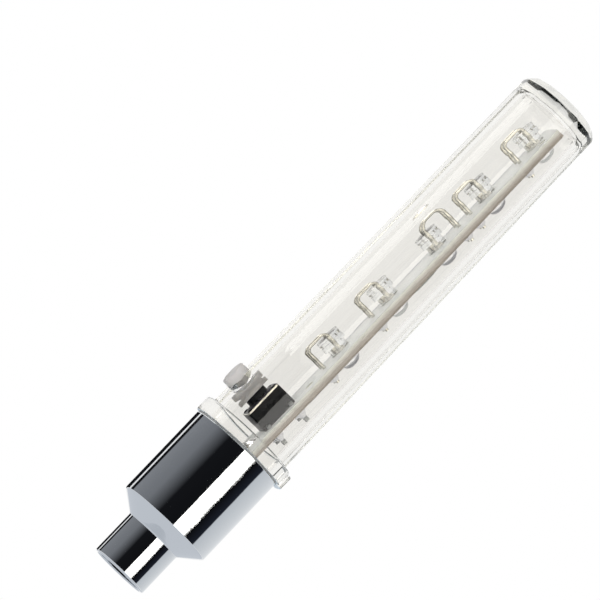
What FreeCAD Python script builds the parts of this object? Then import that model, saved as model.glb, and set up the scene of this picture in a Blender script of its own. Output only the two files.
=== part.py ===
import FreeCAD, Part
import os
import Sketcher
from math import cos, pi, sin, sqrt
from types import SimpleNamespace

# Valve cap light: a chrome screw cap for a tyre valve, and a clear twelve-sided tube with its board,
# five lamps and push button. Millimetres. The axis is Z, the valve mouth is at Z = 0, and the tube
# points up. The board lies square to X: the solder side faces +X, the components and button face -X.

Vector = FreeCAD.Vector
doc = FreeCAD.newDocument("valve_cap_light")

# Driving dimensions, grouped by piece. Each row is a name and its value.
DRIVING_SIZES = [
    # screw cap
    ("valve_bore_radius", 3.9),
    ("bore_beyond_neck", 1.6),
    ("relief_groove_depth", 0.25),
    ("neck_wall", 0.6),
    ("neck_length", 7.0),
    ("shoulder_height", 2.3),
    ("barrel_radius", 7.5),
    ("barrel_wall", 0.65),
    ("cap_floor", 1.2),
    ("cap_edge_chamfer", 0.15),
    ("mouth_chamfer", 0.3),
    # thread between cap and tube
    ("thread_depth", 0.4),
    ("thread_clearance", 0.1),
    ("spigot_length", 3.65),
    ("spigot_chamfer", 0.2),
    # soft parts
    ("valve_seal_thickness", 0.8),
    ("valve_seal_hole_radius", 1.6),
    ("seal_ring_thickness", 0.25),
    ("seal_ring_inset", 0.1),
    ("seating_clearance", 0.02),
    # batteries
    ("sleeve_space", 1.05),
    ("cell_height", 3.05),
    ("cell_cap_inset", 0.9),
    ("cell_cap_height", 0.25),
    ("cell_clearance", 0.1),
    ("spring_height", 1.4),
    ("spring_wire_radius", 0.2),
    ("spring_inset", 0.8),
    ("spring_inner_radius", 2.2),
    ("spring_turns", 2.5),
    ("sleeve_gap", 0.2),
    ("contact_disc_thickness", 0.25),
    ("contact_disc_inset", 0.6),
    # clear tube
    ("collar_overhang", 0.4),
    ("collar_height", 2.3),
    ("collar_edge_chamfer", 0.25),
    ("lug_overhang", 0.9),
    ("lug_width", 3.0),
    ("lug_drop", 0.3),
    ("lug_chamfer", 0.25),
    ("tube_inset", 0.55),
    ("tube_draft", 0.33),
    ("tube_end_chamfer", 1.0),
    ("tube_end_wall", 2.5),
    ("tube_wall", 1.25),
    ("bore_draft", 0.3),
    ("bore_end_round", 1.2),
    ("spigot_wall", 0.55),
    ("seat_height", 2.5),
    # board
    ("board_side_gap", 0.2),
    ("board_thickness", 1.0),
    ("board_face", 1.0),
    ("board_end_gap", 1.5),
    ("board_slot_depth", 1.0),
    ("board_slot_clearance", 0.05),
    ("board_corner", 0.5),
    ("small_hole_radius", 0.7),
    ("small_hole_inset", 1.7),
    ("small_hole_drop", 2.7),
    ("large_hole_radius", 0.75),
    ("large_hole_inset", 2.7),
    ("large_hole_rise", 6.05),
    ("trace_thickness", 0.05),
    ("rail_width", 0.35),
    ("rail_edge_gap", 0.15),
    ("rail_end_gap", 0.7),
    ("branch_width", 0.5),
    ("chip_gap", 0.25),
    ("chip_height", 0.55),
    ("chip_side", 0.5),
    # lamps
    ("led_radius", 1.5),
    ("led_flange_radius", 1.9),
    ("led_flange_height", 1.0),
    ("led_flat", 0.3),
    ("led_height", 5.3),
    ("led_stand_off", 2.5),
    ("led_hole_clearance", 0.1),
    ("led_row_start", 12.95),
    ("led_pitch", 10.1),
    ("led_row_end", 3.05),
    ("lead_width", 0.5),
    ("lead_spacing", 2.54),
    ("lead_row_share", 0.3564),
    ("tall_lead_row_share", 0.396),
    ("lead_reach", 1.0),
    ("lead_reach_tall", 1.8),
    ("lead_outer_bend", 0.9),
    ("lead_inner_bend", 0.3),
    ("lead_end", 1.6),
    ("lead_hole_radius", 0.45),
    ("frame_root", 0.8),
    ("cup_height", 2.6),
    ("cup_depth", 1.0),
    ("cup_side", 1.2),
    ("cup_edge", 0.375),
    ("cup_stem_edge", 0.525),
    ("post_height", 2.4),
    ("post_edge", 0.75),
    ("mound_share", 0.1089),
    ("mound_tip_radius", 0.45),
    ("mound_height", 1.1),
    # switch
    ("button_rise", 4.7),
    ("switch_side", 6.0),
    ("switch_base_height", 3.2),
    ("switch_corner_round", 0.3),
    ("switch_cover_thickness", 0.3),
    ("switch_cavity_radius", 2.4),
    ("switch_cavity_depth", 1.8),
    ("dome_rim_radius", 2.2),
    ("dome_rise", 0.5),
    ("dome_thickness", 0.1),
    ("plunger_radius", 1.72),
    ("plunger_flange_radius", 2.1),
    ("plunger_flange_height", 0.6),
    ("plunger_foot_radius", 0.8),
    ("plunger_foot_height", 0.4),
    ("plunger_clearance", 0.08),
    ("plunger_top", 5.0),
    ("plunger_edge_chamfer", 0.15),
    ("pin_overhang", 0.25),
    ("pin_spacing", 4.5),
    ("pin_width", 0.7),
    ("pin_thickness", 0.3),
    ("pin_root", 0.7),
    ("pin_wall_gap", 0.45),
    ("pin_hole_radius", 0.5),
    ("pin_mound_radius", 1.0),
    ("pin_mound_share", 0.55),
    # push button
    ("button_radius", 1.9),
    ("button_clearance", 0.05),
    ("button_stand_out", 1.35),
    ("button_edge_chamfer", 0.3),
    ("button_flange_radius", 2.75),
    ("button_flange_clearance", 0.08),
    # contacts
    ("tab_width", 1.8),
    ("tab_thickness", 0.3),
    ("tab_foot", 1.6),
    ("tab_rise", 2.4),
    ("tab_clearance", 0.05),
    ("side_contact_drop", 1.9),
    ("side_contact_gap", 0.15),
    ("tab_mound_height", 0.6),
]

sheet = doc.addObject("Spreadsheet::Sheet", "Sizes")


class Size:
    """A length with its value and the spreadsheet formula that gives it."""

    def __init__(self, value, formula=None):
        self.value = float(value)
        self.formula = formula or f"{float(value):.9f}"

    def __add__(self, other):
        other = as_size(other)
        return Size(self.value + other.value, f"({self.formula} + {other.formula})")

    def __sub__(self, other):
        other = as_size(other)
        return Size(self.value - other.value, f"({self.formula} - {other.formula})")

    def __mul__(self, other):
        other = as_size(other)
        return Size(self.value * other.value, f"({self.formula} * {other.formula})")

    def __truediv__(self, other):
        other = as_size(other)
        return Size(self.value / other.value, f"({self.formula} / {other.formula})")

    def __neg__(self):
        return Size(-self.value, f"(0 - {self.formula})")

    def root(self):
        return Size(sqrt(self.value), f"sqrt({self.formula})")


def as_size(item):
    return item if isinstance(item, Size) else Size(item)


size = SimpleNamespace()
for row, (name, value) in enumerate(DRIVING_SIZES, start=1):
    sheet.set(f"A{row}", f"{value}")
    sheet.setAlias(f"A{row}", name)
doc.recompute()
for name, value in DRIVING_SIZES:
    setattr(size, name, Size(sheet.get(name), f"Sizes.{name}"))

ZERO = Size(0)
FACETS = 12
FACET_HALF_ANGLE = pi / FACETS
PIN_HOLE_SIDES = 8
WIRE_SIDES = 6
LED_COUNT = 5
CELL_COUNT = 3
TALL_LED = 3
BEVEL_SHARE = 1 - cos(pi / 4)
EDGE_TOLERANCE = 0.001
CUT_MARGIN = 2
MOUND_SIDES = 8
# Shares of height and radius that round a low drop, and a half ball, from the middle to the rim.
DROP_SHAPE = ((1, 0.3), (0.64, 0.7), (0, 1))
BALL_SHAPE = ((1, 0), (0.9, 0.436), (0.62, 0.785), (0, 1))

# Radii that several pieces share, from the barrel inwards.
neck_radius = size.valve_bore_radius + size.neck_wall
thread_bore_radius = size.barrel_radius - size.barrel_wall
spigot_radius = thread_bore_radius - size.thread_clearance - size.thread_depth
seat_radius = spigot_radius - size.spigot_wall
cell_radius = thread_bore_radius - size.sleeve_space
collar_radius = size.barrel_radius + size.collar_overhang
lug_reach = size.barrel_radius + size.lug_overhang
tube_base_corner_radius = size.barrel_radius - size.tube_inset
tube_end_corner_radius = tube_base_corner_radius - size.tube_draft
bore_base_radius = tube_base_corner_radius - size.tube_wall
bore_end_radius = bore_base_radius - size.bore_draft

# Heights along the axis. The cells set the barrel's height, and the row of lamps sets the tube's length.
valve_bore_depth = size.neck_length + size.bore_beyond_neck
cap_floor_height = valve_bore_depth + size.cap_floor
cells_bottom = cap_floor_height + size.spring_height
cells_top = cells_bottom + size.cell_height * CELL_COUNT
spigot_end = cells_top + size.contact_disc_thickness
collar_bottom = spigot_end + size.spigot_length
barrel_top = collar_bottom - size.seal_ring_thickness
collar_top = collar_bottom + size.collar_height
seat_top = spigot_end + size.seat_height
tab_top = seat_top + size.tab_rise
switch_height = collar_top + size.button_rise
led_first_height = switch_height + size.led_row_start
led_last_height = led_first_height + size.led_pitch * (LED_COUNT - 1)
board_bottom = seat_top - size.board_slot_depth
board_end = led_last_height + size.led_row_end
cavity_end = board_end + size.board_end_gap
tube_end = cavity_end + size.tube_end_wall
tube_length = tube_end - collar_top

# Depths across the board and widths along it.
board_back = size.board_face + size.board_thickness
board_corner_reach = bore_end_radius - size.board_side_gap
half_board = (board_corner_reach * board_corner_reach - board_back * board_back).root()
led_base = size.board_face - size.led_stand_off
plunger_face = size.board_face - size.plunger_top
half_spacing = size.lead_spacing / 2
mound_radius = size.led_pitch * size.mound_share
half_switch = size.switch_side / 2
pin_side = half_switch + size.pin_overhang
pin_outside = pin_side + size.pin_thickness / 2
pin_reach = bore_base_radius - size.pin_wall_gap
pin_tip = (pin_reach * pin_reach - pin_outside * pin_outside).root()


def led_place(index):
    return led_first_height + size.led_pitch * index


def lead_row_offset(number):
    if number == TALL_LED:
        return size.led_pitch * size.tall_lead_row_share
    return -(size.led_pitch * size.lead_row_share)


def new_body(label):
    body = doc.addObject("PartDesign::Body", label)
    body.Label = label
    return body


def new_sketch(body, name, role, offset=ZERO):
    sketch = body.newObject("Sketcher::SketchObject", name)
    plane = [item for item in body.Origin.OriginFeatures if item.Role == role][0]
    sketch.AttachmentSupport = [(plane, "")]
    sketch.MapMode = "FlatFace"
    sketch.AttachmentOffset = FreeCAD.Placement(Vector(0, 0, offset.value), FreeCAD.Rotation())
    sketch.setExpression("AttachmentOffset.Base.z", offset.formula)
    return sketch


def bind(sketch, kind, *parts):
    target = as_size(parts[-1])
    index = sketch.addConstraint(Sketcher.Constraint(kind, *parts[:-1], target.value))
    sketch.setExpression(f"Constraints[{index}]", target.formula)


def outline(sketch, points):
    """Close a straight-sided profile through the points."""
    points = [(as_size(x), as_size(y)) for x, y in points]
    lines = []
    for start, finish in zip(points, points[1:] + points[:1]):
        first = Vector(start[0].value, start[1].value, 0)
        last = Vector(finish[0].value, finish[1].value, 0)
        lines.append(sketch.addGeometry(Part.LineSegment(first, last), False))
    for line, following, place in zip(lines, lines[1:] + lines[:1], points):
        sketch.addConstraint(Sketcher.Constraint("Coincident", line, 2, following, 1))
        bind(sketch, "DistanceX", -1, 1, line, 1, place[0])
        bind(sketch, "DistanceY", -1, 1, line, 1, place[1])


def circle(sketch, x, y, radius):
    x, y, radius = as_size(x), as_size(y), as_size(radius)
    shape = Part.Circle(Vector(x.value, y.value, 0), Vector(0, 0, 1), radius.value)
    index = sketch.addGeometry(shape, False)
    bind(sketch, "DistanceX", -1, 1, index, 3, x)
    bind(sketch, "DistanceY", -1, 1, index, 3, y)
    bind(sketch, "Radius", index, radius)


def rectangle(sketch, low_x, high_x, low_y, high_y):
    outline(sketch, [(low_x, low_y), (high_x, low_y), (high_x, high_y), (low_x, high_y)])


def polygon_ring(sketch, corner_radius, sides=FACETS, centre=(ZERO, ZERO)):
    """A regular polygon whose first side faces along the sketch's X."""
    corners = []
    for index in range(sides):
        angle = pi / sides * (2 * index + 1)
        corners.append((centre[0] + corner_radius * cos(angle), centre[1] + corner_radius * sin(angle)))
    outline(sketch, corners)


def revolve(body, name, points, axis, kind="PartDesign::Revolution"):
    """Turn a profile about Z (points are radius, height) or about X (points are depth, radius)."""
    sketch = new_sketch(body, f"{name}_profile", "XZ_Plane")
    outline(sketch, points)
    feature = body.newObject(kind, name)
    feature.Profile = sketch
    feature.ReferenceAxis = (sketch, ["V_Axis" if axis == "Z" else "H_Axis"])
    feature.Angle = 360
    doc.recompute()


def pad(body, name, sketch, length, midplane=False, backwards=False):
    feature = body.newObject("PartDesign::Pad", name)
    feature.Profile = sketch
    feature.Length = length.value
    feature.setExpression("Length", length.formula)
    feature.Midplane = midplane
    feature.Reversed = backwards
    doc.recompute()
    return feature


def pocket(body, name, sketch, length, midplane=False, backwards=False):
    before = body.Shape.Volume
    feature = body.newObject("PartDesign::Pocket", name)
    feature.Profile = sketch
    feature.Length = length.value
    feature.setExpression("Length", length.formula)
    feature.Midplane = midplane
    feature.Reversed = backwards
    doc.recompute()
    if body.Shape.Volume >= before:
        raise RuntimeError(f"{body.Label}: {name} cuts nothing")


def lean_formula(inset, height):
    """Formula of the angle that leans a side in by the inset over the height."""
    return f"atan({inset.formula} / {height.formula})"


def draft_sides(body, name, inset, height):
    """Lean the upright sides of padded blocks that stand on the XY plane inwards, from their feet up."""
    newest = body.Tip
    sides = []
    feet = []
    for index, face in enumerate(newest.Shape.Faces):
        if abs(face.normalAt(0, 0).z) < EDGE_TOLERANCE:
            sides.append(f"Face{index + 1}")
        elif abs(face.CenterOfMass.z) < EDGE_TOLERANCE:
            feet.append(f"Face{index + 1}")
    feature = body.newObject("PartDesign::Draft", name)
    feature.Base = (newest, sides)
    feature.NeutralPlane = (newest, feet[:1])
    feature.setExpression("Angle", lean_formula(inset, height))
    doc.recompute()


def round_edges(body, name, radius, wanted):
    """Fillet the edges of the body's newest shape that the test function picks."""
    base = body.Tip
    names = [f"Edge{index + 1}" for index, edge in enumerate(base.Shape.Edges) if wanted(edge)]
    if not names:
        raise RuntimeError(f"{body.Label}: {name} finds no edge")
    feature = body.newObject("PartDesign::Fillet", name)
    feature.Base = (base, names)
    feature.Radius = radius.value
    feature.setExpression("Radius", radius.formula)
    doc.recompute()


def straight_edges(direction, test):
    """Test for straight edges along a direction, whose middle passes a further test."""
    def wanted(edge):
        if not isinstance(edge.Curve, Part.Line):
            return False
        along = edge.Curve.Direction
        return abs(abs(along.dot(direction)) - 1) < EDGE_TOLERANCE and test(edge.CenterOfMass)
    return wanted


# Screw cap: turned and chrome plated. A narrow neck takes the valve, a cone widens it into the battery
# barrel, and a floor parts the two. A relief groove ends the valve bore.
shoulder_top = size.neck_length + size.shoulder_height
groove_start = valve_bore_depth - size.valve_seal_thickness
groove_radius = size.valve_bore_radius + size.relief_groove_depth
cap_body = new_body("cap_body")
revolve(cap_body, "cap_turning", [
    (size.valve_bore_radius, ZERO),
    (neck_radius - size.mouth_chamfer, ZERO),
    (neck_radius, size.mouth_chamfer),
    (neck_radius, size.neck_length),
    (size.barrel_radius - size.cap_edge_chamfer, shoulder_top - size.cap_edge_chamfer / 2),
    (size.barrel_radius, shoulder_top + size.cap_edge_chamfer),
    (size.barrel_radius, barrel_top - size.cap_edge_chamfer),
    (size.barrel_radius - size.cap_edge_chamfer, barrel_top),
    (thread_bore_radius, barrel_top),
    (thread_bore_radius, cap_floor_height),
    (ZERO, cap_floor_height),
    (ZERO, valve_bore_depth),
    (groove_radius, valve_bore_depth),
    (groove_radius, groove_start),
    (size.valve_bore_radius, groove_start),
], "Z")

# Valve seal: rubber washer that sits in the relief groove at the end of the valve bore.
seal_radius = groove_radius - size.seating_clearance
valve_seal = new_body("valve_seal")
revolve(valve_seal, "seal_turning", [
    (size.valve_seal_hole_radius, groove_start),
    (seal_radius, groove_start),
    (seal_radius, valve_bore_depth),
    (size.valve_seal_hole_radius, valve_bore_depth),
], "Z")

# Battery sleeve: a plastic tube that keeps the cells clear of the live barrel.
sleeve_bore = cell_radius + size.cell_clearance
sleeve_radius = thread_bore_radius - size.seating_clearance
sleeve_top = spigot_end - size.sleeve_gap
battery_sleeve = new_body("battery_sleeve")
revolve(battery_sleeve, "sleeve_turning", [
    (sleeve_bore, cap_floor_height),
    (sleeve_radius, cap_floor_height),
    (sleeve_radius, sleeve_top),
    (sleeve_bore, sleeve_top),
], "Z")

# Button cells, stacked with the same side up.
for index in range(CELL_COUNT):
    cell = new_body(f"battery_{index + 1}")
    low = cells_bottom + size.cell_height * index
    high = low + size.cell_height
    can_top = high - size.cell_cap_height
    revolve(cell, f"cell_{index + 1}_turning", [
        (ZERO, low),
        (cell_radius, low),
        (cell_radius, can_top),
        (cell_radius - size.cell_cap_inset, can_top),
        (cell_radius - size.cell_cap_inset, high),
        (ZERO, high),
    ], "Z")


def joining_arcs(start, leave, finish, arrive):
    """Two arcs that join two points and keep the direction at both."""
    span = finish - start
    both = leave + arrive
    closing = 2 * (1 - leave.dot(arrive))
    reach = (sqrt(span.dot(both) ** 2 + closing * span.dot(span)) - span.dot(both)) / closing
    middle = (start + finish + (leave - arrive) * reach) * 0.5
    arcs = []
    for first, corner, last in ((start, start + leave * reach, middle),
                                (middle, finish - arrive * reach, finish)):
        chord_middle = (first + last) * 0.5
        half_chord = (last - first).Length / 2
        height = (corner - chord_middle).Length
        radius = half_chord * reach / height
        sagitta = radius - sqrt(radius ** 2 - half_chord ** 2)
        crown = chord_middle + (corner - chord_middle) * (sagitta / height)
        arcs.append(Part.Arc(first, crown, last).toShape())
    return arcs


# Battery spring: a flat conical coil, pressed down by the cells, with its wide turn on the cap's floor.
QUARTERS_PER_TURN = 4
spring_steps = round(size.spring_turns.value * QUARTERS_PER_TURN)
wire_radius = size.spring_wire_radius.value
wire_low = cap_floor_height.value + wire_radius
wire_high = cells_bottom.value - wire_radius - size.seating_clearance.value
spring_outer_radius = cell_radius.value - size.spring_inset.value
radius_step = (size.spring_inner_radius.value - spring_outer_radius) / spring_steps
height_step = (wire_high - wire_low) / spring_steps
quarter = 2 * pi / QUARTERS_PER_TURN
knots = []
for step in range(spring_steps + 1):
    angle = quarter * step
    radius = spring_outer_radius + radius_step * step
    place = Vector(radius * cos(angle), radius * sin(angle), wire_low + height_step * step)
    outward = Vector(cos(angle), sin(angle), 0) * radius_step
    onward = Vector(-sin(angle), cos(angle), 0) * (radius * quarter)
    knots.append((place, (outward + onward + Vector(0, 0, height_step)).normalize()))
coil = []
for (start, leave), (finish, arrive) in zip(knots, knots[1:]):
    coil += joining_arcs(start, leave, finish, arrive)
wire_corners = []
for index in range(WIRE_SIDES + 1):
    angle = 2 * pi / WIRE_SIDES * index
    across = Vector(1, 0, 0) * cos(angle) + knots[0][1].cross(Vector(1, 0, 0)).normalize() * sin(angle)
    wire_corners.append(knots[0][0] + across * wire_radius)
wire_end = Part.makePolygon(wire_corners)
battery_spring = doc.addObject("Part::Feature", "battery_spring")
battery_spring.Shape = Part.Wire(coil).makePipeShell([wire_end], True, False)

# Clear tube: one moulding. A threaded spigot goes into the barrel under a round collar with a lug, and
# the twelve-sided tube tapers to a closed end. The bore is round and tapers too.
light_tube = new_body("light_tube")
revolve(light_tube, "collar_and_spigot", [
    (ZERO, spigot_end),
    (spigot_radius - size.spigot_chamfer, spigot_end),
    (spigot_radius, spigot_end + size.spigot_chamfer),
    (spigot_radius, collar_bottom),
    (collar_radius, collar_bottom),
    (collar_radius, collar_top - size.collar_edge_chamfer),
    (collar_radius - size.collar_edge_chamfer, collar_top),
    (ZERO, collar_top),
], "Z")

taper = size.tube_draft / tube_length
chamfer_height = tube_end - size.tube_end_chamfer
chamfer_corner = tube_end_corner_radius + taper * size.tube_end_chamfer
end_corner = tube_end_corner_radius - size.tube_end_chamfer
for name, low, low_corner, high, high_corner in (
        ("tube_wall", collar_top, tube_base_corner_radius, chamfer_height, chamfer_corner),
        ("tube_chamfer", chamfer_height, chamfer_corner, tube_end, end_corner)):
    ring = new_sketch(light_tube, f"{name}_profile", "XY_Plane", low)
    polygon_ring(ring, low_corner)
    wall = pad(light_tube, name, ring, high - low)
    draft = lean_formula((low_corner - high_corner) * cos(FACET_HALF_ANGLE), high - low)
    wall.setExpression("TaperAngle", f"-{draft}")
    doc.recompute()

lug_inside = size.barrel_radius + size.thread_clearance
lug_shoulder = lug_reach - size.lug_chamfer
half_lug = size.lug_width / 2
lug_sketch = new_sketch(light_tube, "lug_profile", "XY_Plane", collar_bottom - size.lug_drop)
outline(lug_sketch, [
    (lug_inside, -half_lug),
    (lug_shoulder, -half_lug),
    (lug_reach, -(half_lug - size.lug_chamfer)),
    (lug_reach, half_lug - size.lug_chamfer),
    (lug_shoulder, half_lug),
    (lug_inside, half_lug),
])
pad(light_tube, "lug", lug_sketch, size.lug_drop + size.collar_height - size.collar_edge_chamfer)

bevel_radius = bore_end_radius - size.bore_end_round * BEVEL_SHARE
bevel_height = cavity_end - size.bore_end_round * BEVEL_SHARE
revolve(light_tube, "bore", [
    (ZERO, spigot_end),
    (seat_radius, spigot_end),
    (seat_radius, seat_top),
    (bore_base_radius, seat_top),
    (bore_end_radius, cavity_end - size.bore_end_round),
    (bevel_radius, bevel_height),
    (bore_end_radius - size.bore_end_round, cavity_end),
    (ZERO, cavity_end),
], "Z", kind="PartDesign::Groove")

port_radius = size.button_radius + size.button_clearance
port_sketch = new_sketch(light_tube, "button_port_profile", "YZ_Plane")
circle(port_sketch, ZERO, switch_height, port_radius)
pocket(light_tube, "button_port", port_sketch, collar_radius)

notch_top = seat_top + size.tab_thickness + size.tab_clearance
notch_half = size.tab_width / 2 + size.tab_clearance
notch_sketch = new_sketch(light_tube, "contact_notch_profile", "YZ_Plane")
rectangle(notch_sketch, -notch_half, notch_half, spigot_end, notch_top)
pocket(light_tube, "contact_notch", notch_sketch, collar_radius)

# Seal ring: a thin clear washer between the collar and the barrel's rim.
seal_ring = new_body("seal_ring")
revolve(seal_ring, "seal_ring_turning", [
    (spigot_radius + size.thread_clearance, barrel_top),
    (size.barrel_radius - size.seal_ring_inset, barrel_top),
    (size.barrel_radius - size.seal_ring_inset, collar_bottom),
    (spigot_radius + size.thread_clearance, collar_bottom),
], "Z")

# Board seat: a white plug pushed up the spigot to the step of its bore. A slot holds the board's end and
# lets the contact tab through.
board_seat = new_body("board_seat")
seat_plug_radius = seat_radius - size.seating_clearance
revolve(board_seat, "seat_turning", [
    (ZERO, spigot_end),
    (seat_plug_radius, spigot_end),
    (seat_plug_radius, seat_top),
    (ZERO, seat_top),
], "Z")
slot_half_width = half_board + size.board_slot_clearance
slot_sketch = new_sketch(board_seat, "board_slot_profile", "XY_Plane", seat_top)
rectangle(slot_sketch, size.board_face - size.board_slot_clearance,
          board_back + size.board_slot_clearance, -slot_half_width, slot_half_width)
pocket(board_seat, "board_slot", slot_sketch, size.board_slot_depth)
tab_back = board_back + size.tab_thickness
tab_channel = new_sketch(board_seat, "tab_channel_profile", "XY_Plane", seat_top)
rectangle(tab_channel, board_back, tab_back + size.tab_clearance, -notch_half, notch_half)
pocket(board_seat, "tab_channel", tab_channel, size.seat_height)
foot_end = board_back + size.tab_foot
foot_recess = new_sketch(board_seat, "foot_recess_profile", "XY_Plane", spigot_end)
rectangle(foot_recess, board_back, foot_end + size.tab_clearance, -notch_half, notch_half)
pocket(board_seat, "foot_recess", foot_recess, size.tab_thickness, backwards=True)

# Contact disc: a plate that lies on the top cell, under the seat and the spigot's end.
contact_disc = new_body("contact_disc")
revolve(contact_disc, "disc_turning", [
    (ZERO, spigot_end - size.contact_disc_thickness),
    (cell_radius - size.contact_disc_inset, spigot_end - size.contact_disc_thickness),
    (cell_radius - size.contact_disc_inset, spigot_end),
    (ZERO, spigot_end),
], "Z")

# Contact tab: welded to the disc by its foot and soldered to the back of the board.
contact_tab = new_body("contact_tab")
tab_sketch = new_sketch(contact_tab, "tab_profile", "XZ_Plane")
outline(tab_sketch, [
    (board_back, spigot_end),
    (foot_end, spigot_end),
    (foot_end, spigot_end + size.tab_thickness),
    (tab_back, spigot_end + size.tab_thickness),
    (tab_back, tab_top),
    (board_back, tab_top),
])
pad(contact_tab, "tab_strip", tab_sketch, size.tab_width, midplane=True)

# Side contact: runs over the seat, out through the notch and down outside the spigot, against the barrel.
side_contact = new_body("side_contact")
contact_sketch = new_sketch(side_contact, "side_contact_profile", "XZ_Plane")
leg_outside = -(thread_bore_radius - size.side_contact_gap)
leg_inside = leg_outside + size.tab_thickness
outline(contact_sketch, [
    (size.board_face, seat_top),
    (size.board_face, tab_top),
    (size.board_face - size.tab_thickness, tab_top),
    (size.board_face - size.tab_thickness, seat_top + size.tab_thickness),
    (leg_outside, seat_top + size.tab_thickness),
    (leg_outside, seat_top - size.side_contact_drop),
    (leg_inside, seat_top - size.side_contact_drop),
    (leg_inside, seat_top),
])
pad(side_contact, "side_contact_strip", contact_sketch, size.tab_width, midplane=True)

# Circuit board, with its drilled holes.
circuit_board = new_body("circuit_board")
board_sketch = new_sketch(circuit_board, "board_profile", "YZ_Plane", size.board_face)
outline(board_sketch, [
    (-half_board, board_bottom),
    (half_board, board_bottom),
    (half_board, board_end - size.board_corner),
    (half_board - size.board_corner, board_end),
    (-(half_board - size.board_corner), board_end),
    (-half_board, board_end - size.board_corner),
])
pad(circuit_board, "board_sheet", board_sketch, size.board_thickness)
lead_holes = []
hole_sketch = new_sketch(circuit_board, "drilled_holes", "YZ_Plane", board_back)
for number in range(1, LED_COUNT + 1):
    led_height = led_place(number - 1)
    circle(hole_sketch, ZERO, led_height, size.led_radius + size.led_hole_clearance)
    for side in (-half_spacing, half_spacing):
        lead_holes.append((as_size(side), led_height + lead_row_offset(number)))
        polygon_ring(hole_sketch, size.lead_hole_radius, PIN_HOLE_SIDES, lead_holes[-1])
pin_holes = []
for side in (-pin_side, pin_side):
    for along in (-size.pin_spacing / 2, size.pin_spacing / 2):
        pin_holes.append((side, switch_height + along))
        polygon_ring(hole_sketch, size.pin_hole_radius, PIN_HOLE_SIDES, pin_holes[-1])
circle(hole_sketch, -(half_board - size.small_hole_inset), board_end - size.small_hole_drop,
       size.small_hole_radius)
circle(hole_sketch, -(half_board - size.large_hole_inset), switch_height + size.large_hole_rise,
       size.large_hole_radius)
pocket(circuit_board, "board_holes", hole_sketch, size.board_thickness)

# Copper: on the board's back a feed from the contact tab, which passes between the switch pins to a rail up
# each side, and a branch from the rails to each lead. One more rail runs up its face.
copper_traces = new_body("copper_traces")
rail_outside = half_board - size.rail_edge_gap
rail_inside = rail_outside - size.rail_width
rail_low = switch_height + size.pin_spacing / 2 + size.pin_mound_radius + size.rail_end_gap
rail_high = board_end - size.small_hole_drop - size.small_hole_radius - size.rail_end_gap
feed_half_width = size.branch_width / 2
for sign, name in ((-1, "left"), (1, "right")):
    rail = new_sketch(copper_traces, f"{name}_rail_profile", "YZ_Plane", board_back)
    edges = sorted([rail_inside * sign, rail_outside * sign], key=lambda item: item.value)
    rectangle(rail, edges[0], edges[1], rail_low, rail_high)
    pad(copper_traces, f"{name}_rail", rail, size.trace_thickness)
feed = new_sketch(copper_traces, "feed_profile", "YZ_Plane", board_back)
outline(feed, [
    (-feed_half_width, tab_top + mound_radius),
    (feed_half_width, tab_top + mound_radius),
    (feed_half_width, rail_low),
    (rail_inside, rail_low),
    (rail_inside, rail_low + size.branch_width),
    (-rail_inside, rail_low + size.branch_width),
    (-rail_inside, rail_low),
    (-feed_half_width, rail_low),
])
pad(copper_traces, "feed", feed, size.trace_thickness)
branches = new_sketch(copper_traces, "branch_profiles", "YZ_Plane", board_back)
branch_start = half_spacing + mound_radius
for side, height in lead_holes:
    sign = 1 if side.value > 0 else -1
    edges = sorted([branch_start * sign, rail_outside * sign], key=lambda item: item.value)
    rectangle(branches, edges[0], edges[1], height - size.branch_width / 2,
              height + size.branch_width / 2)
pad(copper_traces, "lead_branches", branches, size.trace_thickness)
face_track = new_sketch(copper_traces, "face_track_profile", "YZ_Plane", size.board_face)
rectangle(face_track, rail_inside, rail_outside, rail_low, rail_high)
pad(copper_traces, "face_track", face_track, size.trace_thickness, backwards=True)

# Chip: a low drop of resin over a bare chip on the board's back.
chip_blob = new_body("chip_blob")
chip_middle = (led_place(1) + led_place(2)) / 2
chip_radius = size.led_pitch / 2 - size.led_radius - size.chip_gap
drop_steps = [(size.chip_height * height, chip_radius * radius) for height, radius in DROP_SHAPE]
revolve(chip_blob, "chip_drop", [(ZERO, ZERO), (size.chip_height, ZERO)] + drop_steps, "X")
chip_blob.setExpression("Placement.Base.x", board_back.formula)
chip_blob.setExpression("Placement.Base.y", (-size.chip_side).formula)
chip_blob.setExpression("Placement.Base.z", chip_middle.formula)

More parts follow.
